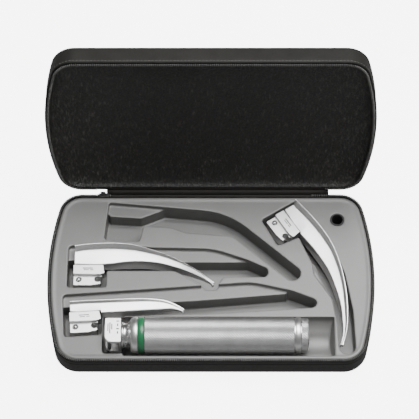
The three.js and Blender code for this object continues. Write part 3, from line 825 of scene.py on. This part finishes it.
WIDE_PLACE = [
    (40.5, 52, 2), (53.5, 28.3, 2.5), (70.5, 36.2, 1), (81, 11.5, 3), (81.7, 3, 3),
    (96, -19.5, 10), (99.5, -42, 20), (100.6, -67.5, 6.2), (113.6, -67.5, 6.2),
    (112.2, -30, 60), (106, 6, 80), (92, 38.5, 80), (67.5, 69, 2),
]
WIDE_SHELF = [(60, 62.5), (72, 42), (87, 27), (88, 60), (67, 75)]
FINGER_SCOOP = [(78, 16), (83.3, 11.5), (88, -2), (96.5, -19), (97.5, -26), (78, -26)]

HEAD_POCKET = dict(x=(-85, -68), y=(-67.5, -34.5), depth=17)
TROUGH_R = 17.0
TROUGH_END_X = 97.5
TROUGH_LEAN = 3.5
LIP = 0.5                       # height of the insert's raised edge


def trough():
    """Half-round channel with a leaning end wall."""
    start = HEAD_POCKET["x"][1] - 1
    rings = [[], []]
    for a in full_turn(64):
        y = HANDLE_Y + TROUGH_R * math.cos(a)
        drop = TROUGH_R * math.sin(a)
        rings[0].append((start, y, BASE_H + drop))
        rings[1].append((TROUGH_END_X + TROUGH_LEAN * min(drop, 0) / TROUGH_R, y, BASE_H + drop))
    return loft(rings)


def scoop():
    """Block left standing in the finger hole, with a top that slopes into the pocket."""
    outline = FINGER_SCOOP
    top = [(x, y, BASE_H - 2.0 - 0.62 * max(x - 81 - max(3 - y, 0) * 0.62, 0)) for x, y in outline]
    bottom = [(x, y, 0) for x, y in outline]
    return loft([bottom, top])


def make_tray():
    top = BASE_H
    inset = TRAY_INSET
    edge = 1.6
    profile = [(inset + 13, inset)] + arc((BASE_ROUND, BASE_ROUND), BASE_ROUND - inset, 270, 180, 8)
    profile += arc((inset + edge, top + LIP - edge), edge, 180, 80, 5)
    profile += [(inset + 2.6, top + LIP * 0.6), (inset + 3.4, top + 0.1), (inset + 4.4, top)]
    tray = build("flocked_insert", shell(profile), FLOCK)
    floor = top - POCKET_DEPTH
    over = top + 3
    places = ((LARGE_PLACE, LARGE_SHELF), (MEDIUM_PLACE, MEDIUM_SHELF),
              (SMALL_PLACE, SMALL_SHELF), (WIDE_PLACE, WIDE_SHELF))
    for place, shelf in places:
        hole = build("pocket", prism(rounded(place), floor, over), FLOCK)
        ledges = [prism(shelf, -2, top - SHELF_DEPTH)]
        if place is WIDE_PLACE:
            ledges.append(scoop())
        carve(hole, ledges)
        cut_by(tray, hole)
    (hx0, hx1), (hy0, hy1) = HEAD_POCKET["x"], HEAD_POCKET["y"]
    head_plan = rounded([(hx0, hy0, 2.5), (hx1, hy0, 0), (hx1, hy1, 0), (hx0, hy1, 2.5)])
    socket = box_mm("spare_lamp_socket")
    middle = (socket[0] + socket[1]) / 2
    hole_r = (socket[1].x - socket[0].x) / 2 + 0.1
    carve(tray, [prism(head_plan, top - HEAD_POCKET["depth"], over), trough(),
                 post(middle.x, middle.y, [(0, socket[0].z), (hole_r, socket[0].z),
                                           (hole_r, over), (0, over)])])
    remesh = tray.modifiers.new("skin", "REMESH")
    remesh.mode = "VOXEL"
    remesh.voxel_size = 0.5 * MM
    relax = tray.modifiers.new("relax", "SMOOTH")
    relax.factor = 0.5
    relax.iterations = 15
    thin = tray.modifiers.new("thin", "DECIMATE")
    thin.ratio = 0.14
    settle(tray)
    shade(tray.data, 180)
    return belongs(tray, "case", "flock", "insert_tray")


def cut_by(obj, tool):
    """Cuts obj by another object, which is then removed."""
    modifier = obj.modifiers.new("cut", "BOOLEAN")
    modifier.operation = "DIFFERENCE"
    modifier.solver = "EXACT"
    modifier.object = tool
    settle(obj)
    bpy.data.objects.remove(tool)
    return obj


def make_lamp_socket():
    low, high = box_mm("spare_lamp_socket")
    x, y = (low.x + high.x) / 2, (low.y + high.y) / 2
    r = (high.x - low.x) / 2
    bore = r - 1.1
    top = high.z
    profile = [(0, low.z), (r, low.z), (r, top - 0.2), (r + 0.35, top + 0.05),
               (r + 0.3, top + 0.35), (r - 0.3, top + 0.5), (bore + 0.15, top + 0.2),
               (bore, top - 0.5), (bore, low.z + 1), (0, low.z + 1)]
    return belongs(build("spare_lamp_sleeve", post(x, y, profile, 64), RUBBER, 50), "case",
                   "black_plastic", "spare_lamp_socket")


# ------------------------------------------------------------------ zip slider

def make_slider():
    low, high = box_mm("zip_slider")
    y0, y1, z0, z1 = low.y, high.y, low.z, high.z
    outline = rounded([(low.x, y0 + 0.3, 1.2), (high.x - 3, y0, 1.5), (high.x, y0 + 0.5, 1.2),
                       (high.x, y1 - 0.5, 1.2), (high.x - 3, y1, 1.5), (low.x, y1 - 0.3, 1.2)], 4)
    lower = prism(outline, z0, z0 + 0.6)
    upper = prism(outline, z1 - 0.6, z1)
    mid = (low.x + high.x) / 2
    yc = (y0 + y1) / 2
    spine = prism(rounded([(mid + 1, yc - 0.7, 0.3), (high.x - 0.6, yc - 0.9, 0.3),
                           (high.x - 0.6, yc + 0.9, 0.3), (mid + 1, yc + 0.7, 0.3)], 3),
                  z0 + 0.3, z1 - 0.3)
    body = build("slider_body", joined([lower, upper, spine]), BLACK_ENAMEL)
    soften(body, 0.18)
    belongs(body, "case", "black_enamel", "zip_slider")
    loop = [(mid + across, yc, z1 + rise) for across, rise in
            ((-2.6, -0.2), (-2.4, 0.5), (-1.2, 0.9), (1.2, 0.9), (2.4, 0.5), (2.6, -0.2))]
    bridge = build("slider_bridge", sweep(smooth_curve(loop, 24), 0.38, 10), BLACK_ENAMEL)
    belongs(bridge, "case", "black_enamel")

    low, high = box_mm("zip_pull")
    x, z_top = (low.x + high.x) / 2, high.z
    half = (high.x - low.x) / 2
    plan = rounded([(-half * 0.8, 0, 1.2), (half * 0.8, 0, 1.2), (half, -(z_top - low.z), 2.3),
                    (-half, -(z_top - low.z), 2.3)], 5)
    window = rounded([(-1.3, -7.2, 0.6), (1.3, -7.2, 0.6), (1.6, -11.2, 0.9), (-1.6, -11.2, 0.9)], 4)
    eye = rounded([(-1.1, -1.3, 0.5), (1.1, -1.3, 0.5), (1.1, -3.5, 0.5), (-1.1, -3.5, 0.5)], 4)
    thick = high.y - low.y
    pull = build("zip_pull_tab", prism(plan, 0, thick), BLACK_ENAMEL)
    carve(pull, [prism(window, -1, thick + 1), prism(eye, -1, thick + 1)])
    stand = Matrix.Translation(Vector((x, high.y, z_top)) * MM) @ Matrix.Rotation(math.pi / 2, 4, "X")
    pull.data.transform(stand)
    soften(pull, 0.25)
    belongs(pull, "zip_pull", "black_enamel", "zip_pull")


# ------------------------------------------------------------------ lid

DISH_SHALLOWER = 0.4            # part of its depth that the lining's dish loses at the hinge


def make_lid():
    opened = lid_open()
    r, top, rim = LID_ROUND, LID_TOP, LID_RIM_Z
    outer = [(WALL, rim + 0.3), (WALL - 0.3, rim), (0.4, rim), (0.1, rim + 0.1), (0, rim + 0.5),
             (0, rim + 4)]
    outer += arc((r, top - r), r, 180, 90, 14)
    panel = [(18, top + 0.1), (18.6, top), (19.2, top - 0.45), (20.2, top - 0.45),
             (20.8, top), (21.5, top + 0.2), (34, top + 0.45), (50, top + 0.6), (64, top + 0.7)]
    inner = [(64, top - WALL)] + arc((r, top - r), r - WALL, 90, 180, 10)
    belongs(build("lid_shell", shell(inner + outer + panel), LEATHERETTE, 50, opened), "lid",
            "leatherette", "case_lid_shell")

    edge = WALL + FIT
    floor = top - WALL - FIT
    back = [(64, floor)] + arc((edge + r - WALL, floor - (r - WALL - FIT)), r - WALL - FIT, 90, 180, 8)
    dish_in, dish_up = 36.0, floor - LINING - rim - 1.0
    dish_low = rim + 0.9
    dish = [(edge - 0.1, rim + 0.5), (edge + 0.2, rim + 0.05), (edge + 0.9, rim + 0.1)]
    for a in np.radians(np.linspace(4, 90, 24)):
        dish.append((edge + 1.2 + dish_in * (1 - math.cos(a)), dish_low + dish_up * math.sin(a)))
    dish += [(50, floor - LINING + 0.02), (64, floor - LINING + 0.03)]
    verts, faces = shell(back + dish)
    soft = []
    for x, y, z in verts:
        near_hinge = smoothstep(y / (CASE_L / 2))
        if dish_low < z < floor - LINING + 0.1:
            z = dish_low + (z - dish_low) * (1 - DISH_SHALLOWER * near_hinge)
        soft.append((x, y, z))
    belongs(build("lid_lining_leather", (soft, faces), LINING_LEATHER, 60, opened), "lid",
            "lid_lining", "lid_lining")
    zip_row("lid", "lid", LID_RIM_Z, -1, LID_ZIP_BACK_X, "zip_row_lid", opened)


# ------------------------------------------------------------------ handle

def knurled_band(x0, x1, radius, around, depth, bore, land=0.5):
    """Diamond knurl as real pyramids between two plain lands, over a bore."""
    pitch = 2 * math.pi * radius / around
    rows = 2 * max(int(round((x1 - x0 - 2 * land) / pitch)), 1)
    columns = 2 * around
    low = radius - depth
    ring_x = [x0, x0] + list(np.linspace(x0 + land, x1 - land, rows + 1)) + [x1, x1]
    ring_r = [bore, low - 0.15] + [None] * (rows + 1) + [low - 0.15, bore]
    verts, faces = [], []
    for i, (x, r) in enumerate(zip(ring_x, ring_r)):
        for k in range(columns):
            a = 2 * math.pi * k / columns
            peak = (i + k) % 2 == 1
            here = r if r is not None else (radius if peak else low)
            verts.append((x, HANDLE_Y + here * math.cos(a), HANDLE_Z + here * math.sin(a)))
    last = len(ring_x) - 1
    for i in range(last):
        for k in range(columns):
            a, b = i * columns + k, i * columns + (k + 1) % columns
            c, d = b + columns, a + columns
            if i < 2 or i > last - 3:
                faces.append((a, b, c, d))
            elif (i + k) % 2 == 0:
                faces += [(a, b, c), (a, c, d)]
            else:
                faces += [(a, b, d), (b, c, d)]
    for k in range(columns):
        a, b = k, (k + 1) % columns
        faces.append((a, b, last * columns + b, last * columns + a))
    return verts, faces


def strokes(rows, top):
    """Short blank etched strokes, each (x, y, length, width, degrees), on a flat face."""
    parts = []
    for x, y, length, width, degrees in rows:
        a = math.radians(degrees)
        along, across = np.array((math.cos(a), math.sin(a))), np.array((-math.sin(a), math.cos(a)))
        centre = np.array((x, y))
        corners = [centre + along * length / 2 * i + across * width / 2 * j
                   for i, j in ((-1, -1), (1, -1), (1, 1), (-1, 1))]
        parts.append(prism(corners, top - 0.05, top + 0.02))
    return joined(parts)


def make_head():
    low, high = box_mm("handle_head")
    x0, x1, y0, y1 = low.x, high.x, low.y, high.y
    z0, z1 = low.z, high.z
    cheek = 3.2
    plan = rounded([(x0, y0, 5.5), (x1, y0, 0.8), (x1, y1, 0.8), (x0, y1, 1)], 8)
    head = build("hook_on_head", prism(plan, z0, z1), SATIN)
    wall = x1 - 2.2
    slot = prism([(x0 - 2, y0 - 2), (wall, y0 - 2), (wall, y1 + 2), (x0 - 2, y1 + 2)],
                 z0 + cheek, z1 - cheek)
    bore = lathe([(x0 - 1, 0), (x0 - 1, 4), (x1 + 1, 4), (x1 + 1, 0)], 48)
    carve(head, [slot, bore])
    soften(head, 0.5, 3)
    belongs(head, "handle", "chrome", "handle_head")
    pin_low, pin_high = box_mm("hook_pin")
    r = (pin_high.x - pin_low.x) / 2
    pin = post((pin_low.x + pin_high.x) / 2, (pin_low.y + pin_high.y) / 2,
               [(0, z0 + 0.4), (r + 0.5, z0 + 0.4), (r, z0 + cheek - 0.3), (r, z1 - cheek + 0.3),
                (r + 0.5, z1 - 0.4), (0, z1 - 0.4)], 40)
    belongs(build("head_cross_pin", pin, CHROME, 50), "handle", "chrome", "hook_pin")
    rows = []
    for i, (length, start) in enumerate(((6.5, 1.2), (9.5, 0), (5.0, 2.2))):
        rows.append((x0 + 2.6 + i * 1.5, (y0 + y1) / 2 + 1.6 + start / 2, length, 0.8, 90))
    for i in range(4):
        rows.append((x1 - 2.6, y1 - 3.0 - i * 3.3, 2.2, 1.0, 90 if i % 2 else 0))
    marks = build("head_etching", strokes(rows, z1), ETCH, 0)
    belongs(marks, "handle", "chrome")


def make_neck():
    low, high = box_mm("handle_neck")
    x0, x1 = low.x, high.x
    r = HANDLE_R
    curve = smooth_curve([(x0 + 1.1, 10.2), (x0 + 2.1, 9.6), (x0 + 3.4, 9.5), (x0 + 4.7, 9.9),
                          (x0 + 5.9, 11.2), (x0 + 6.9, 12.6)], 30)
    neck = [(x0, 4.5), (x0, 10.1), (x0 + 0.3, 10.4), (x0 + 0.8, 10.4)]
    neck += [tuple(p) for p in curve]
    neck += [(x0 + 7.2, 12.8), (x0 + 7.2, 4.5)]
    shoulder = [(x0 + 7.2, 4.5), (x0 + 7.2, 12.8), (x0 + 7.5, 13.2), (x0 + 8.2, 13.7),
                (x0 + 9.4, r - 0.12), (x0 + 10.6, r), (x1 - 0.3, r), (x1, r - 0.3), (x1, 4.5)]
    belongs(build("polished_neck", lathe(neck, 96, loop=True), SOFT_CHROME, 45), "handle",
            "chrome", "handle_neck")
    belongs(build("brushed_shoulder", lathe(shoulder, 96, loop=True), SATIN, 45), "handle",
            "chrome")


def make_tube():
    ring_low, ring_high = box_mm("green_ring")
    r = HANDLE_R + 0.1
    ring = lathe([(ring_low.x, 12.9), (ring_low.x, r - 0.25), (ring_low.x + 0.25, r),
                  (ring_high.x - 0.25, r), (ring_high.x, r - 0.25), (ring_high.x, 12.9)], 96,
                 loop=True)
    belongs(build("fibre_optic_ring", ring, GREEN, 45), "handle", "green_plastic", "green_ring")
    tube = knurled_band(tube_low.x, tube_high.x, HANDLE_R, 44, 0.3, 13.4)
    belongs(build("knurled_grip", tube, KNURLED, 0), "handle", "knurled_steel", "handle_tube")
    low, high = box_mm("tube_end_band")
    x0, x1 = low.x, high.x
    r = HANDLE_R
    end = lathe([(x0, 13.4), (x0, r - 0.9), (x0 + 0.5, r - 0.9), (x0 + 0.7, r - 0.15),
                 (x0 + 1.2, r), (x1 - 0.5, r), (x1, r - 0.4), (x1, 13.4)], 96, loop=True)
    belongs(build("plain_end_band", end, SATIN, 40), "handle", "chrome", "tube_end_band")


def make_cap():
    low, high = box_mm("end_cap")
    band_end = box_mm("tube_end_band")[1].x
    x0, x1 = band_end + 0.3, high.x
    r = (high.z - low.z) / 2
    plug = lathe([(low.x, 0), (low.x, 12.6), (low.x + 0.4, 13), (67.6, 13), (67.6, 12), (69.2, 12),
                  (69.2, 13), (x0 + 0.4, 13), (x0 + 0.4, 6), (x0 + 0.4, 0)], 96)
    grip = knurled_band(x0, x1 - 0.9, r, 42, 0.28, 8.0, 0.3)
    dome = lathe([(x1 - 0.9, 8.0), (x1 - 0.9, r - 0.3), (x1 - 0.3, r - 0.9), (x1, r - 1.8),
                  (x1, 9.0), (x1 - 0.5, 8.4), (x1 - 0.5, 0)], 96)
    cap = build("cap_plug", plug, CHROME, 40)
    belongs(cap, "end_cap", "knurled_steel", "end_cap")
    belongs(build("cap_grip", grip, KNURLED, 0), "end_cap", "knurled_steel")
    face = build("cap_face", dome, CHROME, 40)
    belongs(face, "end_cap", "knurled_steel")
    seal_low, seal_high = box_mm("cap_seal")
    middle, radius = (seal_low.x + seal_high.x) / 2, 12.72
    rings = []
    for a in full_turn(64):
        ring = []
        for b in full_turn(12):
            rr = radius + 0.42 * math.cos(b)
            ring.append((middle + 0.6 * math.sin(b), HANDLE_Y + rr * math.cos(a),
                         HANDLE_Z + rr * math.sin(a)))
        rings.append(ring)
    belongs(build("cap_o_ring", loft(rings, loop=True), RUBBER, 60), "end_cap", "rubber", "cap_seal")


def make_inside():
    """Lamp holder, lamp, contact, cells and springs."""
    low, high = box_mm("lamp_plunger")
    holder = lathe([(low.x + 1.0, 1.5), (low.x + 0.2, 2.2), (low.x, 2.6), (low.x, 3.3),
                    (low.x + 0.3, 3.6), (low.x + 3.2, 3.6), (low.x + 3.4, 3.3), (low.x + 4.0, 3.3),
                    (low.x + 4.2, 3.6), (high.x, 3.6), (high.x, 1.5)], 48, loop=True)
    belongs(build("lamp_holder", holder, BLACK_PLASTIC, 40), "lamp", "black_plastic", "lamp_plunger")
    low, high = box_mm("handle_lamp")
    bulb = [(low.x, 0)] + [(low.x + 1.3 * (1 - math.cos(a)), 1.3 * math.sin(a))
                           for a in np.linspace(0.15, math.pi / 2, 8)]
    bulb += [(high.x - 0.4, 1.3), (high.x, 0.9), (high.x, 0)]
    belongs(build("xenon_style_lamp", lathe(bulb, 32), GLASS, 60), "lamp", "glass", "handle_lamp")
    low, high = box_mm("contact_base")
    contact = lathe([(low.x, 0), (low.x, 3.4), (low.x + 0.6, 3.4), (low.x + 0.6, 11.6),
                     (low.x + 1.0, 12.4), (high.x - 0.4, 12.4), (high.x, 12.0), (high.x, 3.0),
                     (high.x - 0.3, 2.6), (high.x - 0.3, 0)], 64)
    belongs(build("insulated_contact", contact, BLACK_PLASTIC, 40), "handle", "black_plastic",
            "contact_base")
    for i in (1, 2):
        low, high = box_mm(f"battery_{i}")
        r = (high.z - low.z) / 2
        cell = lathe([(low.x, 0), (low.x, 2.9), (low.x + 0.3, 3.2), (low.x + 1.6, 3.3),
                      (low.x + 1.6, r - 1.4), (low.x + 2.0, r - 0.6), (low.x + 2.6, r - 0.1),
                      (low.x + 3.2, r), (high.x - 1.4, r), (high.x - 0.6, r - 0.3),
                      (high.x - 0.2, r - 1.2), (high.x, r - 2.2), (high.x, 0)], 64)
        belongs(build(f"c_cell_{i}", cell, CELL_WRAP, 40), "handle", "cell_wrap", f"battery_{i}")
    low, high = box_mm("plunger_spring")
    coil = helix((low.x + 0.25, HANDLE_Y, HANDLE_Z), (1, 0, 0), high.x - low.x - 0.5, 2.8, 4.5)
    spring = belongs(build("plunger_coil", sweep(coil, 0.3, 8), SPRING_STEEL, 60), "handle",
                     "spring_steel", "plunger_spring")
    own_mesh(spring)
    low, high = box_mm("battery_spring")
    coil = helix((low.x + 0.4, HANDLE_Y, HANDLE_Z), (1, 0, 0), high.x - low.x - 0.8, 4.0, 4,
                 20, 8.8)
    belongs(build("battery_coil", sweep(coil, 0.4, 8), SPRING_STEEL, 60), "battery_spring",
            "spring_steel", "battery_spring")


# ------------------------------------------------------------------ blades

BLADES = {
    "blade_3": dict(
        at=(44.5, 51.5), turn=-56.6, flange=8, spatula=14.5, guide_end=0.62,
        back=[(0.5, 28.2), (18, 30.2), (35, 30.9), (50, 29.6), (63, 26.4), (75, 22.4), (89, 16.3),
              (102, 8.8), (114, 0.2), (121, -6.6), (126, -12.4)],
        belly=[(0.5, 17.2), (23.6, 15.6), (39.6, 16.6), (57.6, 16.4), (68.7, 14.8), (78, 12.2),
               (88, 9), (97.5, 5), (108, -0.8), (117, -6.4), (124.4, -13.2)]),
    "blade_2": dict(
        at=(-109.5, -6), turn=0, flange=7.4, spatula=13, guide_end=0.62,
        back=[(1, 30.5), (9.5, 31.8), (19.5, 32.5), (29.5, 32.8), (39.5, 32.3), (49.5, 31),
              (59.5, 28.5), (69.5, 25.5), (79.5, 21.6), (89.5, 16.6), (99.5, 10.6), (112, 0.6)],
        belly=[(1, 17), (18, 16.6), (29.5, 17.4), (39.5, 18.8), (49.5, 19.5), (59.5, 19.2),
               (69.5, 17.8), (79.5, 15), (89.5, 11.4), (99.5, 6.6), (105.5, 3), (110.8, -0.8)]),
    "blade_1": dict(
        at=(-110.5, -48.5), turn=4, flange=2.6, spatula=11, guide_end=0.6,
        back=[(1, 25.4), (12, 25.4), (22, 25.2), (32, 25), (42, 24.8), (52, 24.5), (62, 24),
              (72, 22.5), (78, 20.8), (83, 18.4), (87, 15.9), (90.6, 13.2)],
        belly=[(1, 17), (18, 14.4), (27, 14.4), (36, 14.4), (45, 14.4), (53, 14.4), (61, 14.4),
               (68, 14.4), (74, 14.4), (80, 14.2), (84.5, 13.4), (89.2, 11.6)]),
}
BLOCK_STEP = [(0, 8.6, 0), (21, 8.2, 0.4), (24.8, 9.4, 1), (23.6, 16.6, 0), (0, 16.6, 0)]
BLOCK_HOOK = [(0, 0, 0.8), (14, 0, 3), (21.4, 1.2, 0.8), (21.4, 3.4, 0.8), (19, 3.6, 0),
              (19, 7.4, 0), (22.4, 7.6, 0.6), (22.4, 10, 0), (0, 10, 0)]
NOTCH = (19, 5.5, 2.4)
BALL = (4.2, 5.2, 1.6)
BALL_OUT = 0.8


def tip_taper(t):
    """How much of the spatula's width is left at t, from 1 at mid-blade to the narrow tip."""
    return 1 - 0.7 * smoothstep((t - 0.5) / 0.5)


def plate_rings(blade, stations=110):
    """Z-shaped sections with filleted folds, from the block's end to the tip."""
    back = smooth_curve(blade["back"], stations)
    belly = smooth_curve(blade["belly"], stations)
    rings = []
    for i, (far, near) in enumerate(zip(back, belly)):
        t = i / (stations - 1)
        across = far - near
        width = max(float(np.linalg.norm(across)), PLATE_T + 0.5)
        across = unit(across)
        flange = max(blade["flange"] * min(1, 1.7 * (1 - t)), 0.3)
        depth = blade["spatula"] * min(1, 0.55 + 1.4 * t) * tip_taper(t)
        room = min(1.0, (width - PLATE_T) / 4)
        lift = min(1.0, flange / 2.5)
        w = width
        section = [
            (0, -depth, 0.4), (0, 0, 1.1 * room), (w - PLATE_T, 0, 1.5 * room * lift + 0.02),
            (w - FLANGE_EDGE, flange, 0.2 * lift + 0.02), (w, flange, 0.35 * lift + 0.02),
            (w, -PLATE_T, 1.6 * room), (PLATE_T, -PLATE_T, 0.8 * room * 0.4),
            (PLATE_T, -depth, 0.4),
        ]
        rings.append([(*(near + across * u), z) for u, z in rounded(section, 4)])
    return rings


def make_blade(name, blade):
    x, y = blade["at"]
    place = (Matrix.Translation(Vector((x, y, WEB_TOP)) * MM)
             @ Matrix.Rotation(math.radians(blade["turn"]), 4, "Z"))

    plate = build(name + "_z_plate", loft(plate_rings(blade)), SATIN, 35)
    carve(plate, [prism([(-2, -1), (25.2, -1), (25.2, 16.9), (-2, 16.9)], -38, 2)])
    plate.data.transform(place)
    shade(plate.data, 35)
    belongs(plate, name, "satin_steel", f"{name}_plate")
    tip = smooth_curve(blade["belly"], 40)[-1]
    depth = blade["spatula"] * tip_taper(1)
    bead = post(tip[0], tip[1], [(0, -depth - 0.4), (0.7, -depth - 0.1), (1.0, -depth + 0.7),
                                 (1.1, -depth + 1.5), (1.1, -1.4), (1.0, -0.6), (0.7, -0.1),
                                 (0, 0.15)], 32)
    belongs(build(name + "_tip_bead", bead, SATIN, 60, place), name, "satin_steel")

    floor = -STEP_DROP - BLOCK_W
    block = build(name + "_hook_block", prism(rounded(BLOCK_HOOK, 5), floor, -STEP_DROP), SATIN)
    carve(block, [prism(rounded(BLOCK_STEP, 5), -STEP_DROP - 5, 0)], "UNION")
    nx, ny, nr = NOTCH
    bx, by, br = BALL
    bore = br + 0.5
    shade_ring_r = bore + 0.05
    carve(block, [post(nx, ny, [(0, floor - 1), (nr, floor - 1), (nr, 1), (0, 1)], 40),
                  post(bx, by, [(0, floor + 2), (bore, floor + 2), (bore, -STEP_DROP - 0.35),
                                (bore + 0.35, -STEP_DROP + 0.05), (bore + 0.35, 1), (0, 1)], 40)])
    block.data.transform(place)
    soften(block, 0.28, 3)
    belongs(block, name, "chrome", f"{name}_block")

    ball_z = -STEP_DROP + BALL_OUT - br
    # Painted shade: a black ring set in the gap round the detent ball, where the bore would only lie in
    # shadow; the real block has no ring there.
    shade_ring_low, shade_ring_high = -STEP_DROP - 1.0, -STEP_DROP - 0.45
    shade_ring = post(bx, by, [(br + 0.1, shade_ring_low), (shade_ring_r, shade_ring_low), (shade_ring_r, shade_ring_high),
                         (br + 0.1, shade_ring_high)], 40, loop=True)
    belongs(build(name + "_ball_painted_shade_ring", shade_ring, BLACK_PLASTIC, 40, place), name, "black_plastic")
    sphere = [(br * math.sin(a), ball_z - br * math.cos(a)) for a in np.linspace(0, math.pi, 25)]
    belongs(build(name + "_detent_ball", post(bx, by, sphere, 40), CHROME, 60, place),
            f"{name}_ball", "chrome", f"{name}_ball")
    spring_low = floor + 2.4
    spring_high = ball_z - br - FIT
    coil = helix((bx, by, spring_low + 0.3), (0, 0, 1), spring_high - spring_low - 0.6, 1.15, 6)
    spring = belongs(build(name + "_detent_coil", sweep(coil, 0.22, 8), SPRING_STEEL, 60, place),
                     name, "spring_steel", f"{name}_ball_spring")
    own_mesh(spring)

    back = smooth_curve(blade["back"], 101)
    belly = smooth_curve(blade["belly"], 101)
    guide_r = 1.3
    route = []
    for t in np.linspace(0.24, blade["guide_end"], 40):
        k = int(round(t * 100))
        gx, gy = belly[k] + (back[k] - belly[k]) * 0.42
        route.append((gx, gy, -PLATE_T - FIT - guide_r))
    belongs(build(name + "_fibre_guide", sweep(smooth_curve(route, 60), guide_r, 20), GUIDE_SLEEVE, 50,
                  place), name, "satin_steel", f"{name}_light_guide")

    rows = [(11.5, 13.6, 8.0, 0.8, 0), (10.2, 12.1, 4.2, 0.6, 0), (14.6, 12.1, 2.6, 0.6, 0)]
    belongs(build(name + "_etching", strokes(rows, 0), ETCH, 0, place), name, "chrome")


# ------------------------------------------------------------------ studio

FLOOR_GLOW = 6.3
TABLE_BOUNCE = 0.5            # light thrown up by the pale table around the case
CEILING_LIGHT = 0.17


def make_floor():
    """Plain pale floor that keeps an even tone and throws no light up at the case."""
    s = Shader("studio_floor", (0.5, 0.5, 0.5), 0.9, Emission_Strength=FLOOR_GLOW)
    s.principled.inputs["Emission Color"].default_value = (1, 1, 1, 1)
    s.principled.inputs["Specular IOR Level"].default_value = 0.0
    size = 4000
    floor = build("studio_floor", ([(-size, -size, -0.3), (size, -size, -0.3), (size, size, -0.3),
                                    (-size, size, -0.3)], [(0, 1, 2, 3)]), s.material, 0)
    floor.visible_diffuse = False
    floor.visible_glossy = False


def softbox(name, place, aim, size, brightness):
    """Rectangular area light whose surface has the given brightness."""
    data = bpy.data.lights.new(name, "AREA")
    data.shape = "RECTANGLE"
    data.size, data.size_y = size
    data.energy = math.pi * size[0] * size[1] * brightness
    light = bpy.data.objects.new(name, data)
    light.location = place
    direction = Vector(aim) - Vector(place)
    light.rotation_euler = direction.to_track_quat("-Z", "Y").to_euler()
    bpy.context.scene.collection.objects.link(light)


def make_studio():
    world = bpy.data.worlds.new("studio")
    world.use_nodes = True
    bpy.context.scene.world = world
    tree = world.node_tree
    background = tree.nodes["Background"]
    background.inputs["Color"].default_value = (1, 1, 1, 1)
    direction = tree.nodes.new("ShaderNodeTexCoord")
    split = tree.nodes.new("ShaderNodeSeparateXYZ")
    level = tree.nodes.new("ShaderNodeMapRange")
    level.interpolation_type = "SMOOTHSTEP"
    level.inputs["From Min"].default_value = -0.25
    level.inputs["From Max"].default_value = 0.15
    level.inputs["To Min"].default_value = TABLE_BOUNCE
    level.inputs["To Max"].default_value = CEILING_LIGHT
    tree.links.new(direction.outputs["Generated"], split.inputs["Vector"])
    tree.links.new(split.outputs["Z"], level.inputs["Value"])
    tree.links.new(level.outputs["Result"], background.inputs["Strength"])
    softbox("overhead_softbox", (0.28, 0.25, 1.25), (0, 0, 0), (1.0, 0.9), 9.8)
    make_floor()


make_base()
zip_row("base", "case", BASE_H, 1, ZIP_BACK_X, "zip_row_base")
make_hinge()
make_tray()
make_lamp_socket()
make_slider()
make_lid()
make_head()
make_neck()
make_tube()
make_cap()
make_inside()
for blade_name, blade_shape in BLADES.items():
    make_blade(blade_name, blade_shape)
make_studio()
